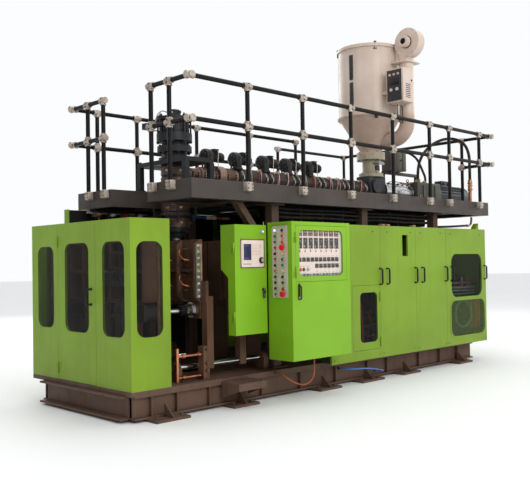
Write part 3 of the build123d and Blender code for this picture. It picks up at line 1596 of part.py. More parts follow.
# Electrical cabinet: sheet shell, framed opening for the instrument door
cable_start_x = 830
cable_start_y = -1330
wall_x0 = cabinet_x0 + sheet + gap
wall_x1 = cabinet_x1 - sheet - gap
wall_z0 = cabinet_z0 + sheet + gap
wall_z1 = cabinet_z1 - sheet - gap
with BuildPart() as cabinet_shell:
    block(cabinet_x0, cabinet_x1, cabinet_front, cabinet_back, cabinet_z1 - sheet, cabinet_z1)
    block(cabinet_x0, cabinet_x1, cabinet_front, cabinet_back, cabinet_z0, cabinet_z0 + sheet)
    rod_up(cabinet_z0 - gland_l, cabinet_z0, cable_start_x, cable_start_y, gland_r)
    # side walls, back wall and the four strips round the door
    for x0 in (cabinet_x0, cabinet_x1 - sheet):
        block(x0, x0 + sheet, cabinet_front, cabinet_back, wall_z0, wall_z1)
    block(wall_x0, wall_x1, cabinet_back - sheet, cabinet_back, wall_z0, wall_z1)
    block(wall_x0, cabinet_door_x0, cabinet_front, cabinet_front + sheet, wall_z0, wall_z1)
    block(cabinet_door_x1, wall_x1, cabinet_front, cabinet_front + sheet, wall_z0, wall_z1)
    for z0, z1 in ((wall_z0, cabinet_door_z0), (cabinet_door_z1, wall_z1)):
        block(
            cabinet_door_x0 + gap, cabinet_door_x1 - gap, cabinet_front, cabinet_front + sheet, z0, z1,
        )
    for row in mushroom_rows:
        stem_z = button_z1 - 50 - row * button_pitch
        rod_x(
            cabinet_x0 - 1, cabinet_x0 + sheet + 1, button_cols[1], stem_z, stem_r + gap,
            mode=Mode.SUBTRACT,
        )
    block(
        cabinet_x0 - 26, cabinet_x0 - gap, button_y0 - 10, button_y1 + 10, button_z1 + 6, button_z1 + 10,
    )
cabinet_shell.part.label = "cabinet_shell"
export_step(cabinet_shell.part, "parts/cabinet_shell.step")

cabinet_plane = facing_front(cabinet_front)
cabinet_door_pan = pan_panel(
    cabinet_plane,
    (cabinet_door_x0 + seam, cabinet_door_x1 - seam, cabinet_door_z0 + seam, cabinet_door_z1 - seam),
    -1, pan_depth - seam, [(*cabinet_window, 60)],
)
cabinet_hinge_x = cabinet_door_x0
cabinet_hinge_y = cabinet_front - knuckle_r
cabinet_hinge_zs = (1340, 1700)
with BuildPart() as cabinet_door:
    add(cabinet_door_pan)
    for z in cabinet_hinge_zs:
        rod_up(z + gap, z + knuckle_h, cabinet_hinge_x, cabinet_hinge_y, knuckle_r)
        block(
            cabinet_hinge_x + seam, cabinet_hinge_x + leaf_len, cabinet_front - leaf_t, cabinet_front,
            z + gap, z + knuckle_h,
        )
        block(
            cabinet_hinge_x + 1, cabinet_hinge_x + seam + 2, cabinet_hinge_y, cabinet_front, z + gap,
            z + knuckle_h,
        )
cabinet_door.part.label = "cabinet_door"
export_step(cabinet_door.part, "parts/cabinet_door.step")

# Instrument panel behind the door window: meters, controllers and two rows of switches
panel_y = cabinet_front + pan_depth - seam
panel_w = cabinet_window[1] - cabinet_window[0]
panel_h = cabinet_window[3] - cabinet_window[2]
panel_cx = (cabinet_window[0] + cabinet_window[1]) / 2
panel_cz = (cabinet_window[2] + cabinet_window[3]) / 2
with BuildPart() as instrument_panel:
    with BuildSketch(facing_front(panel_y)):
        with Locations((panel_cx, panel_cz)):
            Rectangle(panel_w + 12, panel_h + 12)
    extrude(amount=-6)
    with BuildSketch(facing_front(panel_y)):
        with Locations((panel_cx, panel_cz + 0.36 * panel_h)):
            with GridLocations(panel_w / 8.6, 1, 8, 1):
                Rectangle(62, 62)
        with Locations((panel_cx, panel_cz + 0.13 * panel_h)):
            with GridLocations(panel_w / 8.6, 1, 8, 1):
                Rectangle(50, 104)
        with Locations((panel_cx, panel_cz - 0.2 * panel_h)):
            with GridLocations(panel_w / 10.6, 1, 10, 1):
                Rectangle(46, 46)
        with Locations((panel_cx - 0.12 * panel_w, panel_cz - 0.37 * panel_h)):
            with GridLocations(panel_w / 9, 1, 6, 1):
                Rectangle(46, 46)
    extrude(amount=10)
instrument_panel.part.label = "instrument_panel"
export_step(instrument_panel.part, "parts/instrument_panel.step")

# Push button panel on the side of the cabinet
with BuildPart() as button_panel:
    with BuildSketch(facing_left(cabinet_x0 - button_plate)):
        with Locations(((button_y0 + button_y1) / 2, (button_z0 + button_z1) / 2)):
            Rectangle(button_y1 - button_y0, button_z1 - button_z0)
        for row in mushroom_rows:
            with Locations((button_cols[1], button_z1 - 50 - row * button_pitch)):
                Circle(stem_r + gap, mode=Mode.SUBTRACT)
    extrude(amount=button_plate)
    with BuildSketch(facing_left(cabinet_x0 - button_plate)):
        for row in range(button_rows):
            for col in range(2):
                if col == 0 or row not in mushroom_rows:
                    with Locations((button_cols[col], button_z1 - 50 - row * button_pitch)):
                        RegularPolygon(button_r, 10)
    extrude(amount=-button_h)
button_panel.part.label = "button_panel"
export_step(button_panel.part, "parts/button_panel.step")


def mushroom(row):
    z = button_z1 - 50 - row * button_pitch
    face = cabinet_x0 - button_plate
    with BuildPart() as knob:
        rod_x(face - 14, face + button_plate - gap, button_cols[1], z, stem_r)
        rod_x(face - 34, face - 14, button_cols[1], z, mushroom_r)
        chamfer(knob.edges().group_by(Axis.X)[0], 7)
    return knob.part


mushroom_upper = mushroom(mushroom_rows[0])
mushroom_lower = mushroom(mushroom_rows[1])
with BuildPart() as estop_upper:
    add(mushroom_upper)
estop_upper.part.label = "estop_upper"
export_step(estop_upper.part, "parts/estop_upper.step")
with BuildPart() as estop_lower:
    add(mushroom_lower)
estop_lower.part.label = "estop_lower"
export_step(estop_lower.part, "parts/estop_lower.step")

# Parison control box: folded shell behind a full height door
box_door_t = 20
shell_front = box_front + box_door_t + gap
with BuildPart() as control_box:
    with BuildSketch(facing_left(box_x0)):
        with BuildLine():
            Polyline(
                (shell_front, box_z0), (shell_front, box_z1), (box_back, box_z1),
                (box_back, box_waist_z1),
                (box_low_back, box_waist_z0), (box_low_back, box_z0), close=True,
            )
        make_face()
    extrude(amount=box_x1 - box_x0)
    offset(amount=-sheet, openings=control_box.faces().sort_by(Axis.Y)[0])
control_box.part.label = "control_box"
export_step(control_box.part, "parts/control_box.step")

box_door_pan = pan_panel(facing_front(box_front), (box_x0, box_x1, box_z0, box_z1), -1, box_door_t, [])
box_hinge_x = box_x0 - knuckle_r - 0.5
box_hinge_y = box_front + box_door_t / 2
box_hinge_zs = (900, 1600)
with BuildPart() as control_box_door:
    add(box_door_pan)
    for z in box_hinge_zs:
        rod_up(z + gap, z + knuckle_h, box_hinge_x, box_hinge_y, knuckle_r)
        block(box_hinge_x, box_x0, box_front + 4, box_front + box_door_t - 2, z + gap, z + knuckle_h)
control_box_door.part.label = "control_box_door"
export_step(control_box_door.part, "parts/control_box_door.step")

panel_t = 4
with BuildPart() as control_panel:
    with BuildSketch(facing_front(box_front)):
        with Locations(
            ((screen_panel[0] + screen_panel[1]) / 2, (screen_panel[2] + screen_panel[3]) / 2),
        ):
            RectangleRounded(screen_panel[1] - screen_panel[0], screen_panel[3] - screen_panel[2], 10)
        with Locations((knob_x, knob_z)):
            Circle(9 + gap, mode=Mode.SUBTRACT)
    extrude(amount=panel_t)
    with BuildSketch(facing_front(box_front - panel_t)):
        with Locations(((lcd[0] + lcd[1]) / 2, (lcd[2] + lcd[3]) / 2)):
            Rectangle(lcd[1] - lcd[0] + 24, lcd[3] - lcd[2] + 24)
            Rectangle(lcd[1] - lcd[0], lcd[3] - lcd[2], mode=Mode.SUBTRACT)
    extrude(amount=5)
    rod_y_dir(box_front - 22, box_front, lamp_x, lamp_z, 17)
    rod_y_dir(box_front - 12, box_front, knob_x, lcd[3] - 20, 12)
control_panel.part.label = "control_panel"
export_step(control_panel.part, "parts/control_panel.step")

with BuildPart() as control_knob:
    rod_y_dir(box_front - panel_t - gap - 26, box_front - panel_t - gap, knob_x, knob_z, knob_r)
    chamfer(control_knob.edges().group_by(Axis.Y)[0], 5)
    rod_y_dir(box_front - panel_t - gap - 1, box_front - gap, knob_x, knob_z, 9)
    block(
        knob_x - 2, knob_x + 2, box_front - panel_t - gap - 28, box_front - panel_t - gap - 20, knob_z,
        knob_z + knob_r - 3,
    )
control_knob.part.label = "control_knob"
export_step(control_knob.part, "parts/control_knob.step")

lock_len = 100
with BuildPart() as control_lock:
    rod_y_dir(box_front - 16, box_front - gap, lock_x, lock_z, 16)
    with BuildSketch(facing_front(box_front - 16)):
        with Locations((lock_x, lock_z - lock_len / 2 + 12)):
            RectangleRounded(24, lock_len, 9)
    extrude(amount=12)
control_lock.part.label = "control_lock"
export_step(control_lock.part, "parts/control_lock.step")

# Fixed halves of all hinges
with BuildPart() as hinge_halves:
    for z in guard_hinge_zs:
        rod_up(z - knuckle_h, z, hinge_x, hinge_y, knuckle_r)
        block(guard_left - leaf_t, guard_left, hinge_y + seam, hinge_y + leaf_len, z - knuckle_h, z)
        block(hinge_x, guard_left - leaf_t + 1, hinge_y + 1, hinge_y + seam + 2, z - knuckle_h, z)
    for z in access_hinge_zs:
        rod_up(z - knuckle_h, z, access_hinge_x, access_hinge_y, knuckle_r)
        block(
            access_hinge_x + seam, access_hinge_x + leaf_len - 12, cover_front - leaf_t, cover_front,
            z - knuckle_h, z,
        )
        block(
            access_hinge_x + 1, access_hinge_x + seam + 2, access_hinge_y, cover_front - leaf_t + 1,
            z - knuckle_h, z,
        )
    for z in cabinet_hinge_zs:
        rod_up(z - knuckle_h, z, cabinet_hinge_x, cabinet_hinge_y, knuckle_r)
        block(
            cabinet_hinge_x - leaf_len, cabinet_hinge_x - seam, cabinet_front - leaf_t, cabinet_front,
            z - knuckle_h, z,
        )
        block(
            cabinet_hinge_x - seam - 2, cabinet_hinge_x - 1, cabinet_hinge_y,
            cabinet_front - leaf_t + 1, z - knuckle_h, z,
        )
    for z in box_hinge_zs:
        rod_up(z - knuckle_h, z, box_hinge_x, box_hinge_y, knuckle_r)
        block(box_x0 - leaf_t, box_x0, shell_front + 2, shell_front + leaf_len, z - knuckle_h, z)
        block(box_hinge_x - 4, box_x0 - leaf_t + 1, box_hinge_y, shell_front + 4, z - knuckle_h, z)
hinge_halves.part.label = "hinge_halves"
export_step(hinge_halves.part, "parts/hinge_halves.step")

# Hoses and cables
hose_arch_tube = cord(
    [
        (gear_hose_x, gear_hose_y, gearbox_z1 + 45), (4600, -150, 2890), (4660, -200, 3085),
        (4780, -290, 3240),
        (4915, -420, 3325), (5005, -585, 3315), (5040, -725, 3215), (5045, -788, 3045),
        (deck_hose_x, deck_hose_y, 2860),
        (deck_hose_x, deck_hose_y, deck_hose_z),
    ],
    45, "hose_arch",
)
with BuildPart() as hose_arch:
    add(hose_arch_tube)
hose_arch.part.label = "hose_arch"
export_step(hose_arch.part, "parts/hose_arch.step")

gland_z = dryer_box_z0 - dryer_gland_h
dryer_cable_tube = cord(
    [
        (dryer_gland_x[0], dryer_box_y, gland_z), (3395, -657, 3545), (3392, -661, 3470),
        (3400, -667, 3405),
        (3428, -672, 3360), (3480, -670, 3358), (3507, -664, 3402), (3513, -659, 3468),
        (3510, -657, 3545),
        (dryer_gland_x[1], dryer_box_y, gland_z),
    ],
    12, "dryer_cable",
)
with BuildPart() as dryer_cable:
    add(dryer_cable_tube)
dryer_cable.part.label = "dryer_cable"
export_step(dryer_cable.part, "parts/dryer_cable.step")

cabinet_cable_tube = cord(
    [
        (cable_start_x, cable_start_y, cabinet_z0 - gland_l), (830, -1330, 312), (822, -1328, 217),
        (765, -1318, 150),
        (680, -1300, 132), (600, -1265, 158), (530, -1205, 215), (500, -1155, 266),
        (cable_end_x, base_front - gland_l, 266),
    ],
    16, "cabinet_cable",
)
with BuildPart() as cabinet_cable:
    add(cabinet_cable_tube)
cabinet_cable.part.label = "cabinet_cable"
export_step(cabinet_cable.part, "parts/cabinet_cable.step")

floor_hose_tube = cord(
    [
        (hose_start[0], hose_gland_y, hose_start[1]), (1580, -1160, 190), (1660, -1230, 189),
        (1790, -1236, 182),
        (1930, -1224, 166), (2060, -1228, 143), (2182, -1232, 118), (2275, -1165, 96),
        (hose_end[0], hose_gland_y, hose_end[1]),
    ],
    16, "floor_hose",
)
with BuildPart() as floor_hose:
    add(floor_hose_tube)
floor_hose.part.label = "floor_hose"
export_step(floor_hose.part, "parts/floor_hose.step")
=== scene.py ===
from math import cos, hypot, pi, radians, sin, sqrt
import random

import bmesh
import bpy
from mathutils import Matrix, Vector


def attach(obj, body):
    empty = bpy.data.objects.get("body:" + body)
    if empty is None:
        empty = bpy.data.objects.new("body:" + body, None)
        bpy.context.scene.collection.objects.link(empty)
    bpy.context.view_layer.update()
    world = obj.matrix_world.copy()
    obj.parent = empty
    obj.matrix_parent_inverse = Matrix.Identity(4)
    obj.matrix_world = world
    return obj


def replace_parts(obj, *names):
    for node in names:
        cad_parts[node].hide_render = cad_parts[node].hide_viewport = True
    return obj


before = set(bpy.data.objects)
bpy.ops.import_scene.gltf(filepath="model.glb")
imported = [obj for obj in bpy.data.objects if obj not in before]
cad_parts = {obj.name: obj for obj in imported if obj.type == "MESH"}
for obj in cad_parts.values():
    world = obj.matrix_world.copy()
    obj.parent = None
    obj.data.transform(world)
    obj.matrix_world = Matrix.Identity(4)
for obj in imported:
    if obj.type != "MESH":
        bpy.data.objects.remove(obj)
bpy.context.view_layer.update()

random.seed(7)


# camera and studio, in metres and degrees
cameraView = dict(place=(-5.2291, -6.8022, 1.4451), turn=45.6856, lift=1.2393, roll=-0.9491, lens=51.07)
studio = dict(
    floorColour=(244, 244, 244), skyColour=(252, 253, 254), skyStrength=1.0, wall=(-0.85, -0.3),
    wallStrength=0.35,
    lamps=[
        ("keySoftbox", (-2.0, -12.5, 7.0), (1.0, 0, 1.2), 6.0, 490),
        ("endFill", (-11, -5.5, 4.5), (-1, 0, 1.2), 4.0, 15),
        ("topSoftbox", (2.5, 0.5, 11), (2.3, 0, 2), 6.0, 260),
        ("rearSoftbox", (5, 12, 6.5), (2.3, 0, 1.5), 6.0, 300),
        ("farEndFill", (14, -2, 5), (5, 0, 2), 5.0, 160),
    ],
)


def linear(colour):
    return tuple(((c / 255 + 0.055) / 1.055) ** 2.4 if c > 10 else c / 255 / 12.92 for c in colour) + (1.0,)


def makeCamera(view):
    turn, lift, roll = (radians(view[k]) for k in ("turn", "lift", "roll"))
    right = Vector((sin(turn), -cos(turn), 0))
    ahead = Vector((cos(turn) * cos(lift), sin(turn) * cos(lift), sin(lift)))
    up = right.cross(ahead)
    rolledRight = right * cos(roll) + up * sin(roll)
    rolledUp = up * cos(roll) - right * sin(roll)
    camera = bpy.data.objects.new("photoCamera", bpy.data.cameras.new("photoCamera"))
    bpy.context.scene.collection.objects.link(camera)
    camera.data.lens = view["lens"]
    camera.data.sensor_width = 36
    camera.data.clip_end = 300
    camera.matrix_world = Matrix((
        (rolledRight.x, rolledUp.x, -ahead.x, view["place"][0]),
        (rolledRight.y, rolledUp.y, -ahead.y, view["place"][1]),
        (rolledRight.z, rolledUp.z, -ahead.z, view["place"][2]),
        (0, 0, 0, 1),
    ))
    bpy.context.scene.camera = camera


def makeStudio(look):
    bpy.context.scene.view_settings.view_transform = "Standard"
    world = bpy.data.worlds.new("softSky")
    bpy.context.scene.world = world
    world.use_nodes = True
    sky = world.node_tree.nodes["Background"]
    sky.inputs["Color"].default_value = linear(look["skyColour"])
    links, nodes = world.node_tree.links, world.node_tree.nodes
    split = nodes.new("ShaderNodeSeparateXYZ")
    links.new(nodes.new("ShaderNodeTexCoord").outputs["Generated"], split.inputs[0])
    dimmed = nodes.new("ShaderNodeMapRange")  # a dark wall stands off the clamp's end
    for key, value in (
        (1, look["wall"][0]), (2, look["wall"][1]), (3, look["wallStrength"]), (4, look["skyStrength"])):
        dimmed.inputs[key].default_value = value
    links.new(split.outputs[0], dimmed.inputs[0])
    links.new(dimmed.outputs[0], sky.inputs["Strength"])
    for name, place, aim, size, power in look["lamps"]:
        light = bpy.data.lights.new(name, "AREA")
        light.shape, light.size, light.energy = "DISK", size, power
        lamp = bpy.data.objects.new(name, light)
        bpy.context.scene.collection.objects.link(lamp)
        lamp.location = place
        lamp.rotation_euler = (Vector(aim) - Vector(place)).to_track_quat("-Z", "Y").to_euler()
    ground = bmesh.new()
    bmesh.ops.create_circle(ground, cap_ends=True, segments=96, radius=70)
    mesh = bpy.data.meshes.new("studioFloor")
    ground.to_mesh(mesh)
    ground.free()
    floor = bpy.data.objects.new("studioFloor", mesh)
    bpy.context.scene.collection.objects.link(floor)
    mesh.materials.append(surface("floorPaper", dict(
        base=look["floorColour"], second=(240, 240, 240), patch=0.35, patchAmount=0.4, rough=(0.7, 0.8))))


# one node material per finish
def surface(name, look):
    material = bpy.data.materials.new(name)
    material.use_nodes = True
    tree = material.node_tree
    shader = tree.nodes["Principled BSDF"]

    def node(kind, inputs=None, **settings):
        made = tree.nodes.new("ShaderNode" + kind)
        for key, value in settings.items():
            setattr(made, key, value)
        for key, value in (inputs or {}).items():
            if isinstance(value, bpy.types.NodeSocket):
                tree.links.new(value, made.inputs[key])
            else:
                made.inputs[key].default_value = value
        return made

    place = node("TexCoord").outputs["Object"]

    def noise(scale, detail=4.0, where=None):
        return node("TexNoise", {"Vector": where or place, "Scale": scale, "Detail": detail}).outputs[0]

    def fade(value, low, high, start=0.0, end=1.0):
        return node("MapRange", {0: value, 1: low, 2: high, 3: start, 4: end}).outputs[0]

    def times(first, second):
        return node("Math", {0: first, 1: second}, operation="MULTIPLY").outputs[0]

    def blended(amount, first, second):
        return node("Mix", {0: amount, 6: first, 7: second}, data_type="RGBA").outputs[2]

    colour = linear(look["base"])
    patches = noise(look.get("patch", 1.5), 3.0)
    colour = blended(
        fade(patches, 0.38, 0.62, 0, look.get("patchAmount", 0.5)), colour, linear(look["second"]))
    if "grain" in look:
        grain = noise(look["grain"], 2.0)
        colour = blended(
            fade(grain, 0.45, 0.7, 0, look.get("grainAmount", 0.4)), colour, linear(look["grainColour"]))
    if "streak" in look:  # runs and drips down upright faces
        long = node("Mapping", {"Vector": place, "Scale": (9, 9, 0.55)}).outputs[0]
        colour = blended(
            fade(noise(1.6, 5.0, long), 0.52, 0.78, 0, look["streakAmount"]), colour, linear(look["streak"])
        )
    rounded = node("Bevel", {"Radius": look.get("edgeWidth", 0.002)}, samples=4).outputs[0]
    flat = node("NewGeometry").outputs["Normal"]
    if "edge" in look:
        turn = node("VectorMath", {0: rounded, 1: flat}, operation="DOT_PRODUCT").outputs[1]
        worn = times(fade(turn, 0.995, 0.9), fade(noise(38, 3.0), 0.42, 0.58))
        colour = blended(times(worn, look.get("edgeAmount", 0.6)), colour, linear(look["edge"]))
    soiled = None
    if "dust" in look:
        soiled = fade(noise(look.get("dustScale", 3.0), 7.0), 0.44, 0.72, 0, look.get("dustAmount", 0.5))
        if "dustHeight" in look:
            height = node("SeparateXYZ", {0: place}).outputs[2]
            low, high = look["dustHeight"]
            soiled = node(
                "Math", {0: soiled, 1: fade(height, low, high, look.get("dustLow", 0.6), 0)},
                operation="ADD", use_clamp=True
            ).outputs[0]
        colour = blended(soiled, colour, linear(look["dust"]))
    if "cavity" in look:  # painted shade: a darker colour mixed into corners and recesses that ambient occlusion finds
        shaded = node(
            "AmbientOcclusion", {"Distance": look.get("cavityReach", 0.05)}, samples=4
        ).outputs["AO"]
        colour = blended(
            fade(shaded, 0.75, 0.25, 0, look.get("cavityAmount", 0.7)), colour, linear(look["cavity"]))
    tree.links.new(colour, shader.inputs["Base Color"])
    low, high = look["rough"]
    roughness = fade(noise(look.get("roughScale", 7.0), 4.0), 0.35, 0.65, low, high)
    if soiled:
        roughness = node(
            "Math", {0: roughness, 1: times(soiled, 0.35)}, operation="ADD", use_clamp=True
        ).outputs[0]
    tree.links.new(roughness, shader.inputs["Roughness"])
    scale, depth = look.get("bump", (300, 0.00006))
    if "tread" in look:  # raised lozenges of a floor plate, crosswise in turn
        cells = node(
            "Mapping", {"Vector": place, "Rotation": (0, 0, pi / 4), "Scale": [1 / look["tread"]] * 3}
        ).outputs[0]
        within = node(
            "VectorMath",
            {0: node("VectorMath", {0: cells}, operation="FRACTION").outputs[0], 1: (0.5, 0.5, 0.5)},
            operation="SUBTRACT"
        ).outputs[0]
        ovals = []
        for shape in ((2.2, 7.5, 0), (7.5, 2.2, 0)):
            shaped = node("VectorMath", {0: within, 1: shape}, operation="MULTIPLY").outputs[0]
            ovals.append(node("VectorMath", {0: shaped}, operation="LENGTH").outputs[1])
        crossed = node(
            "Mix",
            {0: node("TexChecker", {"Vector": cells, "Scale": 1.0}).outputs[1], 2: ovals[0], 3: ovals[1]}
        ).outputs[0]
        rounded = node(
            "Bump",
            {"Distance": 0.0016, "Strength": 0.9, "Height": fade(crossed, 1.05, 0.75), "Normal": rounded}
        ).outputs[0]
    bumped = node(
        "Bump",
        {
            "Distance": depth, "Strength": look.get("bumpStrength", 0.5), "Height": noise(scale, 3.0),
            "Normal": rounded})
    tree.links.new(bumped.outputs[0], shader.inputs["Normal"])
    shader.inputs["Metallic"].default_value = look.get("metallic", 0.0)
    shader.inputs["Coat Weight"].default_value = look.get("coat", 0.0)
    shader.inputs["Coat Roughness"].default_value = look.get("coatRough", 0.15)
    shader.inputs["Specular IOR Level"].default_value = look.get("specular", 0.25)
    shader.inputs["Alpha"].default_value = look.get("alpha", 1.0)
    if "glow" in look:
        shader.inputs["Emission Color"].default_value = linear(look["glow"])
        shader.inputs["Emission Strength"].default_value = look.get("glowStrength", 1.0)
    return material


makeCamera(cameraView)
makeStudio(studio)
print("camera and studio are made")
